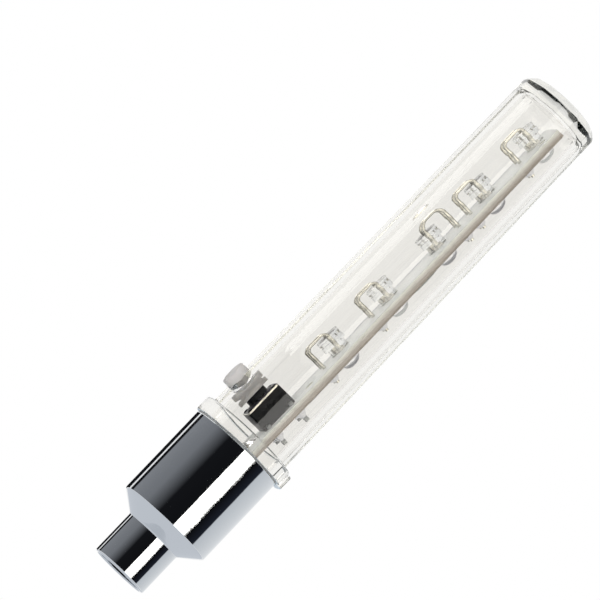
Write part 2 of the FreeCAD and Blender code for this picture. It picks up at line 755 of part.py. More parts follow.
# Lamps: a moulded lens with a flange and a flat, and two stamped leads. The leads leave the base, bend
# back and go through the board. Each lamp is drawn at the height zero and placed on the board.
half_lead = size.lead_width / 2
lead_finish = board_back + size.lead_end
all_leads = []
for number in range(1, LED_COUNT + 1):
    led_height = led_place(number - 1)
    row = lead_row_offset(number)
    sign = 1 if row.value > 0 else -1
    reach = size.lead_reach_tall if number == TALL_LED else size.lead_reach
    outer_x = led_base - reach - half_lead
    inner_x = outer_x + size.lead_width

    leads = new_body(f"led_{number}_leads")
    for name, side in (("cathode", -half_spacing), ("anode", half_spacing)):
        bend = new_sketch(leads, f"led_{number}_{name}_bend", "XZ_Plane", -side)
        outline(bend, [
            (led_base, -half_lead * sign),
            (led_base, half_lead * sign),
            (inner_x, half_lead * sign),
            (inner_x, row - half_lead * sign),
            (lead_finish, row - half_lead * sign),
            (lead_finish, row + half_lead * sign),
            (outer_x, row + half_lead * sign),
            (outer_x, -half_lead * sign),
        ])
        pad(leads, f"led_{number}_{name}_wire", bend, size.lead_width, midplane=True)
    corner_x = (inner_x.value, outer_x.value)
    round_edges(leads, f"led_{number}_inner_bends", size.lead_inner_bend, straight_edges(
        Vector(0, 1, 0), lambda middle: abs(middle.x - corner_x[0]) < EDGE_TOLERANCE))
    round_edges(leads, f"led_{number}_outer_bends", size.lead_outer_bend, straight_edges(
        Vector(0, 1, 0), lambda middle: abs(middle.x - corner_x[1]) < EDGE_TOLERANCE))

    frame = new_sketch(leads, f"led_{number}_frame_profile", "XY_Plane")
    cup_x = led_base + size.cup_height
    post_x = led_base + size.post_height
    neck_x = led_base + size.frame_root
    outline(frame, [
        (led_base, -(half_spacing + half_lead)),
        (neck_x, -size.cup_side),
        (cup_x, -size.cup_side),
        (cup_x, size.cup_edge),
        (cup_x - size.cup_depth, size.cup_edge),
        (neck_x, -size.cup_stem_edge),
        (led_base, -(half_spacing - half_lead)),
    ])
    outline(frame, [
        (led_base, half_spacing - half_lead),
        (neck_x, size.post_edge),
        (post_x, size.post_edge),
        (post_x, size.cup_side),
        (neck_x, size.cup_side),
        (led_base, half_spacing + half_lead),
    ])
    pad(leads, f"led_{number}_frame", frame, size.lead_width, midplane=True)

    lens = new_body(f"led_{number}_lens")
    dome_start = led_base + size.led_height - size.led_radius
    dome = [(dome_start + size.led_radius * height, size.led_radius * radius)
            for height, radius in reversed(BALL_SHAPE)]
    revolve(lens, f"led_{number}_moulding", [
        (led_base, ZERO),
        (led_base, size.led_flange_radius),
        (led_base + size.led_flange_height, size.led_flange_radius),
        (led_base + size.led_flange_height, size.led_radius),
    ] + dome, "X")
    flat = new_sketch(lens, f"led_{number}_flat_profile", "YZ_Plane", led_base)
    rectangle(flat, -size.led_flange_radius * CUT_MARGIN, -(size.led_flange_radius - size.led_flat),
              -size.led_flange_radius, size.led_flange_radius)
    pocket(lens, f"led_{number}_flat", flat, size.led_flange_height, backwards=True)

    led = doc.addObject("Part::Cut", f"led_{number}")
    led.Base = lens
    led.Tool = leads
    leads.setExpression("Placement.Base.z", led_height.formula)
    lens.setExpression("Placement.Base.z", led_height.formula)
    all_leads.append(leads)
doc.recompute()

# Tact switch: a square moulded base with a round well, a metal cover, a snap dome, a plunger and four pins.
base_top = size.board_face - size.switch_base_height
well_floor = base_top + size.switch_cavity_depth
switch_base = new_body("switch_base")
base_sketch = new_sketch(switch_base, "switch_base_profile", "YZ_Plane", size.board_face)
rectangle(base_sketch, -half_switch, half_switch,
          switch_height - half_switch, switch_height + half_switch)
pad(switch_base, "switch_block", base_sketch, size.switch_base_height, backwards=True)
round_edges(switch_base, "switch_corners", size.switch_corner_round,
            straight_edges(Vector(1, 0, 0), lambda middle: True))
well_sketch = new_sketch(switch_base, "switch_well_profile", "YZ_Plane", base_top)
circle(well_sketch, ZERO, switch_height, size.switch_cavity_radius)
pocket(switch_base, "switch_well", well_sketch, size.switch_cavity_depth, backwards=True)

switch_cover = new_body("switch_cover")
cover_sketch = new_sketch(switch_cover, "switch_cover_profile", "YZ_Plane", base_top)
rectangle(cover_sketch, -half_switch, half_switch,
          switch_height - half_switch, switch_height + half_switch)
pad(switch_cover, "cover_plate", cover_sketch, size.switch_cover_thickness, backwards=True)
round_edges(switch_cover, "cover_corners", size.switch_corner_round,
            straight_edges(Vector(1, 0, 0), lambda middle: True))
cover_hole = new_sketch(switch_cover, "cover_hole_profile", "YZ_Plane", base_top)
circle(cover_hole, ZERO, switch_height, size.plunger_radius + size.plunger_clearance)
pocket(switch_cover, "cover_hole", cover_hole, size.switch_cover_thickness)

switch_plunger = new_body("switch_plunger")
flange_low = base_top + size.plunger_flange_height
revolve(switch_plunger, "plunger_turning", [
    (plunger_face, ZERO),
    (plunger_face, size.plunger_radius - size.plunger_edge_chamfer),
    (plunger_face + size.plunger_edge_chamfer, size.plunger_radius),
    (base_top, size.plunger_radius),
    (base_top, size.plunger_flange_radius),
    (flange_low, size.plunger_flange_radius),
    (flange_low, size.plunger_foot_radius),
    (flange_low + size.plunger_foot_height, size.plunger_foot_radius),
    (flange_low + size.plunger_foot_height, ZERO),
], "X")
switch_plunger.setExpression("Placement.Base.z", switch_height.formula)

# Snap dome, drawn as low as the pressed plunger leaves it.
switch_dome = new_body("switch_dome")
dome_outside = [(well_floor - size.dome_rise * height, size.dome_rim_radius * radius)
                for height, radius in DROP_SHAPE]
inner_rise = size.dome_rise - size.dome_thickness
inner_rim_radius = size.dome_rim_radius - size.dome_thickness
dome_inside = [(well_floor - inner_rise * height, inner_rim_radius * radius)
               for height, radius in reversed(DROP_SHAPE)]
revolve(switch_dome, "dome_pressing",
        [(well_floor - inner_rise, ZERO), (well_floor - size.dome_rise, ZERO)]
        + dome_outside + dome_inside, "X")
switch_dome.setExpression("Placement.Base.z", switch_height.formula)

# Switch pins: four bent strips that leave the base's sides and go through the board.
switch_pins = new_body("switch_pins")
pin_inside = pin_outside - size.pin_thickness
pin_high = size.board_face - size.pin_root
for along, name in ((-size.pin_spacing / 2, "low"), (size.pin_spacing / 2, "high")):
    pin_sketch = new_sketch(switch_pins, f"{name}_pin_profile", "XY_Plane", switch_height + along)
    for sign in (-1, 1):
        outline(pin_sketch, [
            (pin_high, half_switch * sign),
            (pin_high, pin_outside * sign),
            (pin_tip, pin_outside * sign),
            (pin_tip, pin_inside * sign),
            (pin_high + size.pin_thickness, pin_inside * sign),
            (pin_high + size.pin_thickness, half_switch * sign),
        ])
    pad(switch_pins, f"{name}_pins", pin_sketch, size.pin_width, midplane=True)

# Solder: a mound round each lead and pin at the board's back, and a low one at each contact strip. Each
# group is padded and drafted upright, then turned to stand on its face of the board.
pin_mound_height = (pin_tip - board_back) * size.pin_mound_share
mound_groups = []
for name, places, radius, rise, face, outward in (
        ("lead_mounds", lead_holes, mound_radius, size.mound_height, board_back, 1),
        ("pin_mounds", pin_holes, size.pin_mound_radius, pin_mound_height, board_back, 1),
        ("tab_mound", [(ZERO, tab_top)], mound_radius, size.tab_mound_height, board_back, 1),
        ("side_contact_mound", [(ZERO, tab_top)], mound_radius, size.tab_mound_height, size.board_face, -1)):
    mounds = new_body(name)
    feet = new_sketch(mounds, f"{name}_feet", "XY_Plane")
    for side, height in places:
        polygon_ring(feet, radius, MOUND_SIDES, (height * -outward, side))
    pad(mounds, f"{name}_blocks", feet, rise)
    lean = (radius - size.mound_tip_radius) * cos(pi / MOUND_SIDES)
    draft_sides(mounds, f"{name}_slopes", lean, rise)
    mounds.Placement.Rotation = FreeCAD.Rotation(Vector(0, 1, 0), 90 * outward)
    mounds.setExpression("Placement.Base.x", face.formula)
    mound_groups.append(mounds)
doc.recompute()
mound_group = doc.addObject("Part::Compound", "solder_mounds")
mound_group.Links = mound_groups
metal_group = doc.addObject("Part::Compound", "soldered_metal")
metal_group.Links = all_leads + [switch_pins, contact_tab, side_contact]
solder_joints = doc.addObject("Part::Cut", "solder_joints")
solder_joints.Base = mound_group
solder_joints.Tool = metal_group

# Push button: a milky stem in the tube's port, with a flange inside that is curved to the bore.
button_cap = new_body("button_cap")
flange_bore = bore_base_radius - size.button_flange_clearance
revolve(button_cap, "button_flange", [
    (plunger_face, ZERO),
    (plunger_face, size.button_flange_radius),
    (-bore_base_radius, size.button_flange_radius),
    (-bore_base_radius, ZERO),
], "X")
button_cap.setExpression("Placement.Base.z", switch_height.formula)
saddle = new_sketch(button_cap, "flange_saddle_profile", "XY_Plane")
circle(saddle, ZERO, ZERO, bore_base_radius * CUT_MARGIN)
circle(saddle, ZERO, ZERO, flange_bore)
saddle_length = size.button_flange_radius * 2 * CUT_MARGIN
pocket(button_cap, "flange_saddle", saddle, saddle_length, midplane=True)
corner_distance = tube_base_corner_radius - taper * (switch_height - collar_top)
button_face = -(corner_distance * cos(FACET_HALF_ANGLE) + size.button_stand_out)
revolve(button_cap, "button_stem", [
    (plunger_face, ZERO),
    (plunger_face, size.button_radius),
    (button_face + size.button_edge_chamfer, size.button_radius),
    (button_face, size.button_radius - size.button_edge_chamfer),
    (button_face, ZERO),
], "X")
doc.recompute()

# Every piece that is written, one file each.
PIECES = [
    "cap_body", "valve_seal", "battery_sleeve", "battery_spring", "battery_1", "battery_2", "battery_3",
    "light_tube", "seal_ring", "board_seat", "contact_disc", "contact_tab", "side_contact",
    "circuit_board", "copper_traces", "chip_blob", "solder_joints",
    "led_1", "led_2", "led_3", "led_4", "led_5",
    "led_1_leads", "led_2_leads", "led_3_leads", "led_4_leads", "led_5_leads",
    "switch_base", "switch_cover", "switch_plunger", "switch_dome", "switch_pins", "button_cap",
]

for item in doc.Objects:
    if "Invalid" in item.State or "Error" in item.State:
        raise RuntimeError(f"{item.Label} failed: {item.State}")
for name in PIECES:
    shape = doc.getObject(name).Shape
    if shape.isNull() or not shape.isValid():
        raise RuntimeError(f"{name} has no valid shape")

os.makedirs("parts", exist_ok=True)
for name in PIECES:
    piece = doc.getObject(name)
    piece.Label = name
    piece.Shape.exportStep(f"parts/{name}.step")
    print(f"{name}: {len(piece.Shape.Solids)} solid, {piece.Shape.Volume:.2f} cubic mm")
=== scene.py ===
import math
import bmesh
import bpy
from mathutils import Matrix, Vector


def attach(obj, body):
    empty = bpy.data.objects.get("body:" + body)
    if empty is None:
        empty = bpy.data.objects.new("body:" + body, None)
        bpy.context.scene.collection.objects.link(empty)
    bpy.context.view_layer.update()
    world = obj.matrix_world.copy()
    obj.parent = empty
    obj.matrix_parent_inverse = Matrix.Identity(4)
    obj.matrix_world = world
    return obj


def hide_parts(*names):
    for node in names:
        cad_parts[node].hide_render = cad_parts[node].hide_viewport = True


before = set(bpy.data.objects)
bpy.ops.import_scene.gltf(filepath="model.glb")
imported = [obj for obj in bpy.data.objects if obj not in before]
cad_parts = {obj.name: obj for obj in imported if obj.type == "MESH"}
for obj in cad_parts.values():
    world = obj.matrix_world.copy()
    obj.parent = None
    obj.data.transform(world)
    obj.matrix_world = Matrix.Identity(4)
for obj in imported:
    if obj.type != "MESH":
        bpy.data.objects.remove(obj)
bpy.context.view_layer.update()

# Studio: an even white room, a plain pale floor, and a camera that looks at the light from the side and a
# little from below, rolled as in the photograph. Curved dark cards and a bright strip stand round it, seen
# only in the chrome's reflections and through the clear plastic.
MM = 0.001
UP = Vector((0, 0, 1))
CAMERA_AZIMUTH = math.radians(-9)
CAMERA_ELEVATION = math.radians(-7)
CAMERA_ROLL = math.radians(46.3)
CAMERA_DISTANCE = 0.70
CAMERA_LENS = 300
AIM_ALONG, AIM_UP = 25.4 * MM, 38.05 * MM
LIGHT_BOUNCES, CLEAR_BOUNCES = 48, 16


def linear(code):
    """Linear colour with alpha from an sRGB hex code."""
    channels = [int(code[start:start + 2], 16) / 255 for start in (1, 3, 5)]
    return tuple(c / 12.92 if c <= 0.04045 else ((c + 0.055) / 1.055) ** 2.4 for c in channels) + (1,)


def add_node(finish, kind, inputs=None, **settings):
    """Add a node to a material or world; an input is a value, or another node's output to link."""
    node = finish.node_tree.nodes.new(kind)
    for name, value in settings.items():
        setattr(node, name, value)
    for name, value in (inputs or {}).items():
        if isinstance(value, bpy.types.NodeSocket):
            finish.node_tree.links.new(value, node.inputs[name])
        else:
            node.inputs[name].default_value = value
    return node


def new_finish(name):
    """An empty node material and its output node."""
    finish = bpy.data.materials.new(name)
    finish.use_nodes = True
    finish.node_tree.nodes.clear()
    return finish, add_node(finish, "ShaderNodeOutputMaterial")


def finish_surface(finish, output, shader):
    """Link a shader to the surface of a material's output."""
    finish.node_tree.links.new(shader.outputs[0], output.inputs["Surface"])


scene = bpy.context.scene
scene.view_settings.view_transform = "Standard"
scene.cycles.max_bounces = LIGHT_BOUNCES
scene.cycles.transmission_bounces = LIGHT_BOUNCES
scene.cycles.glossy_bounces = LIGHT_BOUNCES
scene.cycles.transparent_max_bounces = CLEAR_BOUNCES

room = bpy.data.worlds.new("white_room")
room.use_nodes = True
room.node_tree.nodes["Background"].inputs["Color"].default_value = linear("#ffffff")
room.node_tree.nodes["Background"].inputs["Strength"].default_value = 1.0
scene.world = room

# The camera looks against "back", and the light's own axis leans in its picture by the roll.
back = Vector((math.sin(CAMERA_AZIMUTH) * math.cos(CAMERA_ELEVATION),
               -math.cos(CAMERA_AZIMUTH) * math.cos(CAMERA_ELEVATION),
               math.sin(CAMERA_ELEVATION)))
axis_seen = (UP - back * UP.dot(back)).normalized()
axis_side = back.cross(axis_seen)
camera_right = axis_seen * math.cos(CAMERA_ROLL) - axis_side * math.sin(CAMERA_ROLL)
camera_up = axis_seen * math.sin(CAMERA_ROLL) + axis_side * math.cos(CAMERA_ROLL)
aim = camera_right * AIM_ALONG + camera_up * AIM_UP
camera = bpy.data.objects.new("camera", bpy.data.cameras.new("camera"))
camera.data.lens = CAMERA_LENS
camera.matrix_world = Matrix((camera_right, camera_up, back)).transposed().to_4x4()
camera.matrix_world.translation = aim + back * CAMERA_DISTANCE
bpy.context.collection.objects.link(camera)
scene.camera = camera


def stage_piece(name, shape, finish, seen_by=None):
    """Make the mesh a piece of the studio; with seen_by, only reflections or refractions show it."""
    mesh = bpy.data.meshes.new(name)
    shape.to_mesh(mesh)
    shape.free()
    mesh.materials.append(finish)
    piece = bpy.data.objects.new(name, mesh)
    bpy.context.collection.objects.link(piece)
    if seen_by:
        piece.visible_camera = False
        piece.visible_diffuse = False
        piece.visible_glossy = "reflections" in seen_by
        piece.visible_transmission = "refractions" in seen_by
        piece.visible_volume_scatter = False
        piece.visible_shadow = False


# Pale matt paper far below the light: an even ground without gloss.
FLOOR_HEIGHT, FLOOR_SIZE = -0.6, 4.0
floor_finish, output = new_finish("pale_paper_floor")
floor_shader = add_node(floor_finish, "ShaderNodeBsdfPrincipled", {
    "Base Color": linear("#f2f3f5"), "Roughness": 0.8, "Specular IOR Level": 0.2})
finish_surface(floor_finish, output, floor_shader)
sheet = bmesh.new()
bmesh.ops.create_grid(sheet, x_segments=1, y_segments=1, size=FLOOR_SIZE)
bmesh.ops.translate(sheet, verts=sheet.verts, vec=UP * FLOOR_HEIGHT)
stage_piece("paper_floor", sheet, floor_finish)

# Angles round the light are in degrees from the side that faces a camera at azimuth zero, and positive to
# that camera's right.
CARD_RADIUS = 0.5
STRIP_RADIUS, FLAG_RADIUS = CARD_RADIUS * 0.96, CARD_RADIUS * 0.9
CARD_LOW = -60 * MM
CAP_CARD_HIGH = 76 * MM
TUBE_CARD_HIGH = 330 * MM
CARD_STEPS = 48


def curved_card(name, start, end, low, high, radius, finish, seen_by):
    """A card bent round the light's axis between two angles in degrees and two heights."""
    card = bmesh.new()
    foot = card.verts.new(Vector((math.sin(math.radians(start)), -math.cos(math.radians(start)), 0)) * radius
                          + UP * low)
    head = card.verts.new(foot.co + UP * (high - low))
    edge = card.edges.new((foot, head))
    bmesh.ops.spin(card, geom=[foot, head, edge], cent=(0, 0, 0), axis=UP,
                   angle=math.radians(end - start), steps=CARD_STEPS)
    stage_piece(name, card, finish, seen_by)


def angle_round_light(finish):
    """Node output: the angle round the axis in degrees, zero at the side the camera faces."""
    coordinates = add_node(finish, "ShaderNodeTexCoord")
    split = add_node(finish, "ShaderNodeSeparateXYZ", {"Vector": coordinates.outputs["Object"]})
    turned_y = add_node(finish, "ShaderNodeMath", {0: split.outputs["Y"], 1: -1.0}, operation="MULTIPLY")
    angle = add_node(finish, "ShaderNodeMath", {0: split.outputs["X"], 1: turned_y.outputs[0]},
                     operation="ARCTAN2")
    return add_node(finish, "ShaderNodeMath", {0: angle.outputs[0]}, operation="DEGREES").outputs[0]


# Dark card with soft and hard steps of grey: these are the broad bands that the chrome shows.
CARD_START, CARD_PARTING, CARD_END = -140.0, -85, 150.0
CARD_TONES = ((-140, "#101114"), (-129, "#101114"), (-127, "#8b8e93"), (-75, "#7b7e83"), (-36, "#17181b"),
              (45, "#101114"), (70, "#20242e"), (72, "#cfd4d9"), (150, "#f2f4f6"))
SIDE_START, SIDE_END = -178, -148
card_finish, output = new_finish("dark_card")
card_angle = angle_round_light(card_finish)
card_share = add_node(card_finish, "ShaderNodeMapRange", {
    "Value": card_angle, "From Min": CARD_START, "From Max": CARD_END})
card_ramp = add_node(card_finish, "ShaderNodeValToRGB", {"Fac": card_share.outputs[0]})
tones = card_ramp.color_ramp.elements
while len(tones) < len(CARD_TONES):
    tones.new(0.5)
for stop, (angle, code) in zip(tones, CARD_TONES):
    stop.position = (angle - CARD_START) / (CARD_END - CARD_START)
for stop, (angle, code) in zip(tones, CARD_TONES):
    stop.color = linear(code)
finish_surface(card_finish, output, add_node(card_finish, "ShaderNodeEmission", {
    "Color": card_ramp.outputs["Color"]}))
curved_card("left_card", CARD_START, CARD_PARTING, CARD_LOW, CAP_CARD_HIGH, CARD_RADIUS, card_finish,
            ("reflections",))
curved_card("dark_card", CARD_PARTING, CARD_END, CARD_LOW, TUBE_CARD_HIGH, CARD_RADIUS, card_finish,
            ("reflections",))
side_finish, output = new_finish("black_card")
finish_surface(side_finish, output, add_node(side_finish, "ShaderNodeEmission", {"Color": linear("#141518")}))
curved_card("side_card", SIDE_START, SIDE_END, CARD_LOW, CAP_CARD_HIGH, CARD_RADIUS, side_finish,
            ("reflections",))

# A bright card on the lamp side lights the board's face and the wires through the clear plastic.
FILL_START, FILL_END, FILL_STRENGTH = -112, -80, 3.4
fill_finish, output = new_finish("fill_card")
finish_surface(fill_finish, output, add_node(fill_finish, "ShaderNodeEmission", {
    "Color": linear("#ffffff"), "Strength": FILL_STRENGTH}))
curved_card("fill_card", FILL_START, FILL_END, CARD_LOW, TUBE_CARD_HIGH, STRIP_RADIUS, fill_finish,
            ("refractions",))

# A low flag that the bore's wall mirrors in front of the switch, so that the switch stays black.
FLAG_START, FLAG_END = -115, 20
FLAG_LOW, FLAG_HIGH = 66 * MM, 98 * MM
curved_card("switch_flag", FLAG_START, FLAG_END, FLAG_LOW, FLAG_HIGH, FLAG_RADIUS, side_finish,
            ("refractions",))

# The strip's right edge is uneven, which the polished chrome shows as a row of fine teeth. They are about
# 1.1 mm high, and hardly change from front to back.
STRIP_START, STRIP_END, TOOTH_END = 6, 44, 33.0
STRIP_STRENGTH = 2.5
TOOTH_HEIGHT, TOOTH_DEPTH = 1.111 * MM, 500 * MM
strip_finish, output = new_finish("bright_strip")
strip_angle = angle_round_light(strip_finish)
coordinates = add_node(strip_finish, "ShaderNodeTexCoord")
stretched = add_node(strip_finish, "ShaderNodeVectorMath", {
    0: coordinates.outputs["Object"], 1: (1 / TOOTH_DEPTH, 1 / TOOTH_DEPTH, 1 / TOOTH_HEIGHT)},
    operation="MULTIPLY")
teeth = add_node(strip_finish, "ShaderNodeTexNoise", {
    "Vector": stretched.outputs[0], "Scale": 1.0, "Detail": 3.0, "Roughness": 0.6})
edge_angle = add_node(strip_finish, "ShaderNodeMapRange", {
    "Value": teeth.outputs["Fac"], "From Min": 0.3, "From Max": 0.75, "To Min": STRIP_END,
    "To Max": TOOTH_END})
inside = add_node(strip_finish, "ShaderNodeMath", {0: strip_angle, 1: edge_angle.outputs[0]},
                  operation="LESS_THAN")
strip_power = add_node(strip_finish, "ShaderNodeMath", {0: inside.outputs[0], 1: STRIP_STRENGTH},
                       operation="MULTIPLY")
finish_surface(strip_finish, output, add_node(strip_finish, "ShaderNodeEmission", {
    "Color": linear("#fffdf8"), "Strength": strip_power.outputs[0]}))
curved_card("bright_strip", STRIP_START, STRIP_END, CARD_LOW, TUBE_CARD_HIGH, STRIP_RADIUS, strip_finish,
            ("reflections", "refractions"))

# A pale grey board under the light, seen only in the shoulder and the rounded edges of the chrome.
UNDER_BOARD_HEIGHT, UNDER_BOARD_STEPS = -90 * MM, 64
under_finish, output = new_finish("under_board")
finish_surface(under_finish, output, add_node(under_finish, "ShaderNodeEmission", {
    "Color": linear("#d3d8df")}))
under = bmesh.new()
bmesh.ops.create_circle(under, cap_ends=True, segments=UNDER_BOARD_STEPS, radius=FLAG_RADIUS)
bmesh.ops.translate(under, verts=under.verts, vec=UP * UNDER_BOARD_HEIGHT)
stage_piece("under_board", under, under_finish, ("reflections",))

# Screw cap: turned brass with bright chrome plating. A narrow neck takes the tyre valve, a cone widens it
# into the battery barrel, and a floor parts the two. Both bores are threaded.
ACROSS = Vector((1, 0, 0))
SIDEWAYS = Vector((0, 1, 0))
CAP_STEPS = 256
BORE_RADIUS, BORE_DEPTH = 3.9 * MM, 8.6 * MM
GROOVE_RADIUS, GROOVE_START = 4.15 * MM, 7.8 * MM
NECK_RADIUS, NECK_LENGTH = 4.5 * MM, 7.0 * MM
BARREL_RADIUS, BARREL_BORE = 7.5 * MM, 6.85 * MM
SHOULDER_TOP, CAP_FLOOR, BARREL_TOP = 9.3 * MM, 9.8 * MM, 24.0 * MM
RIM_ROUND, SHOULDER_ROUND, NECK_ROUND = 0.1 * MM, 0.22 * MM, 0.12 * MM
MOUTH_ROUND, MOUTH_CHAMFER = 0.28 * MM, 0.2 * MM
RIM_RING, SHOULDER_RING, NECK_RING, MOUTH_RING = 0.15 * MM, 0.3 * MM, 0.2 * MM, 0.35 * MM
VALVE_PITCH, VALVE_THREAD_DEPTH, VALVE_RIDGE = 25.4 / 32 * MM, 0.42 * MM, 0.7 * MM
VALVE_THREAD_START, VALVE_TURNS = 0.75 * MM, 8.3
SCREW_PITCH, SCREW_THREAD_DEPTH, SCREW_RIDGE = 1.0 * MM, 0.11 * MM, 0.4 * MM
SCREW_THREAD_START, SCREW_TURNS = 20.9 * MM, 2.6
THREAD_STEPS = 96
RIDGE_SINK, CREST_SHARE = 0.03 * MM, 0.25

# Points nearer than this are one point, and faces at least this wide each way are shaded flat.
NEAR = 0.001 * MM
FLAT_WIDTH = 1.0 * MM


def turned(shape, profile, axis=UP, steps=96, centre=(0, 0, 0), start=0.0):
    """Turn a line of (radius, height) points about an axis and close its poles."""
    side = ACROSS if axis == UP else SIDEWAYS
    side = Matrix.Rotation(start, 3, axis) @ side
    old = set(shape.verts)
    points = [shape.verts.new(side * radius + axis * height + Vector(centre)) for radius, height in profile]
    lines = [shape.edges.new(pair) for pair in zip(points, points[1:])]
    bmesh.ops.spin(shape, geom=points + lines, cent=centre, axis=axis, angle=2 * math.pi, steps=steps,
                   use_merge=True)
    made = [vert for vert in shape.verts if vert not in old]
    bmesh.ops.remove_doubles(shape, verts=made, dist=NEAR)
    return shape


def round_rings(shape, rings, width, segments=3, axis=UP, centre=(0, 0, 0)):
    """Round the circular edges that lie at the given (radius, height) places."""
    def on_ring(point):
        from_centre = point - Vector(centre)
        height = from_centre.dot(axis)
        radius = (from_centre - axis * height).length
        return any(abs(radius - r) < NEAR * 5 and abs(height - h) < NEAR * 5 for r, h in rings)
    chosen = [edge for edge in shape.edges if all(on_ring(vert.co) for vert in edge.verts)]
    bmesh.ops.bevel(shape, geom=chosen, offset=width, offset_type="OFFSET", segments=segments,
                    profile=0.5, affect="EDGES", material=-1)


def thread_ridge(shape, root, crest, pitch, bottom, turns, base, start=0.0):
    """A ridge of triangular section wound as a right-hand thread on a wall of the root radius."""
    sink = RIDGE_SINK * (1 if root > crest else -1)
    half = base / 2
    corners = [(root + sink, -half), (root + sink, half),
               (crest, half * CREST_SHARE), (crest, -half * CREST_SHARE)]
    turn = Matrix.Rotation(start, 3, "Z")
    section = [shape.verts.new(turn @ Vector((radius, 0, bottom + height))) for radius, height in corners]
    face = shape.faces.new(section)
    bmesh.ops.spin(shape, geom=section + face.edges[:] + [face], cent=(0, 0, 0), axis=UP,
                   dvec=UP * (pitch / THREAD_STEPS), angle=2 * math.pi * turns,
                   steps=int(turns * THREAD_STEPS))
    bmesh.ops.holes_fill(shape, edges=[edge for edge in shape.edges if edge.is_boundary], sides=4)


def finished_piece(name, shape, body, finish, sharp=35, more=()):
    """Make the mesh a piece that rides on a body, smooth but for wide flats and edges over the angle."""
    bmesh.ops.recalc_face_normals(shape, faces=shape.faces)
    for face in shape.faces:
        face.smooth = min(edge.calc_length() for edge in face.edges) < FLAT_WIDTH
    mesh = bpy.data.meshes.new(name)
    shape.to_mesh(mesh)
    shape.free()
    for item in (finish, *more):
        mesh.materials.append(item)
    mesh.set_sharp_from_angle(angle=math.radians(sharp))
    piece = bpy.data.objects.new(name, mesh)
    bpy.context.collection.objects.link(piece)
    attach(piece, body)
    return piece


# Bright chrome over copper and nickel: a mirror with hard dark and light bands, whose edges tremble a
# little from the waviness of polished brass, and with faint clouds where it was handled.
RIPPLE_SIZE, HANDLING_SIZE = 1.111 * MM, 3.846 * MM
chrome, output = new_finish("bright_chrome_plate")
coordinates = add_node(chrome, "ShaderNodeTexCoord")
ripple = add_node(chrome, "ShaderNodeTexNoise", {
    "Vector": coordinates.outputs["Object"], "Scale": 1 / RIPPLE_SIZE, "Detail": 2.0, "Roughness": 0.5})
ripple_bump = add_node(chrome, "ShaderNodeBump", {
    "Height": ripple.outputs["Fac"], "Strength": 0.02, "Distance": 0.2 * MM})
handling = add_node(chrome, "ShaderNodeTexNoise", {
    "Vector": coordinates.outputs["Object"], "Scale": 1 / HANDLING_SIZE, "Detail": 3.0})
polish = add_node(chrome, "ShaderNodeMapRange", {
    "Value": handling.outputs["Fac"], "From Min": 0.35, "From Max": 0.75, "To Min": 0.03, "To Max": 0.06})
chrome_shader = add_node(chrome, "ShaderNodeBsdfPrincipled", {
    "Base Color": linear("#dfe1e3"), "Metallic": 1.0, "Roughness": polish.outputs[0],
    "Normal": ripple_bump.outputs["Normal"]})
finish_surface(chrome, output, chrome_shader)

# Extra rings beside each rounded edge keep the long faces straight in the mirror finish.
shoulder_run = Vector((BARREL_RADIUS - NECK_RADIUS, SHOULDER_TOP - NECK_LENGTH)).normalized()
shoulder_foot = (NECK_RADIUS + shoulder_run.x * NECK_RING, NECK_LENGTH + shoulder_run.y * NECK_RING)
shoulder_head = (BARREL_RADIUS - shoulder_run.x * SHOULDER_RING,
                 SHOULDER_TOP - shoulder_run.y * SHOULDER_RING)
cap = turned(bmesh.new(), [
    (0, CAP_FLOOR), (BARREL_BORE, CAP_FLOOR), (BARREL_BORE, BARREL_TOP), (BARREL_RADIUS, BARREL_TOP),
    (BARREL_RADIUS, BARREL_TOP - RIM_RING), (BARREL_RADIUS, SHOULDER_TOP + SHOULDER_RING),
    (BARREL_RADIUS, SHOULDER_TOP), shoulder_head, shoulder_foot, (NECK_RADIUS, NECK_LENGTH),
    (NECK_RADIUS, NECK_LENGTH - NECK_RING), (NECK_RADIUS, MOUTH_RING), (NECK_RADIUS, 0), (BORE_RADIUS, 0),
    (BORE_RADIUS, GROOVE_START), (GROOVE_RADIUS, GROOVE_START), (GROOVE_RADIUS, BORE_DEPTH),
    (0, BORE_DEPTH)], steps=CAP_STEPS)
round_rings(cap, [(BARREL_RADIUS, BARREL_TOP), (BARREL_BORE, BARREL_TOP)], RIM_ROUND)
round_rings(cap, [(BARREL_RADIUS, SHOULDER_TOP)], SHOULDER_ROUND)
round_rings(cap, [(NECK_RADIUS, NECK_LENGTH)], NECK_ROUND)
round_rings(cap, [(NECK_RADIUS, 0)], MOUTH_ROUND)
round_rings(cap, [(BORE_RADIUS, 0)], MOUTH_CHAMFER, segments=1)
thread_ridge(cap, BORE_RADIUS, BORE_RADIUS - VALVE_THREAD_DEPTH, VALVE_PITCH, VALVE_THREAD_START,
             VALVE_TURNS, VALVE_RIDGE)
thread_ridge(cap, BARREL_BORE, BARREL_BORE - SCREW_THREAD_DEPTH, SCREW_PITCH, SCREW_THREAD_START,
             SCREW_TURNS, SCREW_RIDGE, start=math.pi)
cap_piece = finished_piece("chrome_cap", cap, "cap", chrome, sharp=20)
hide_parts("cap_body")

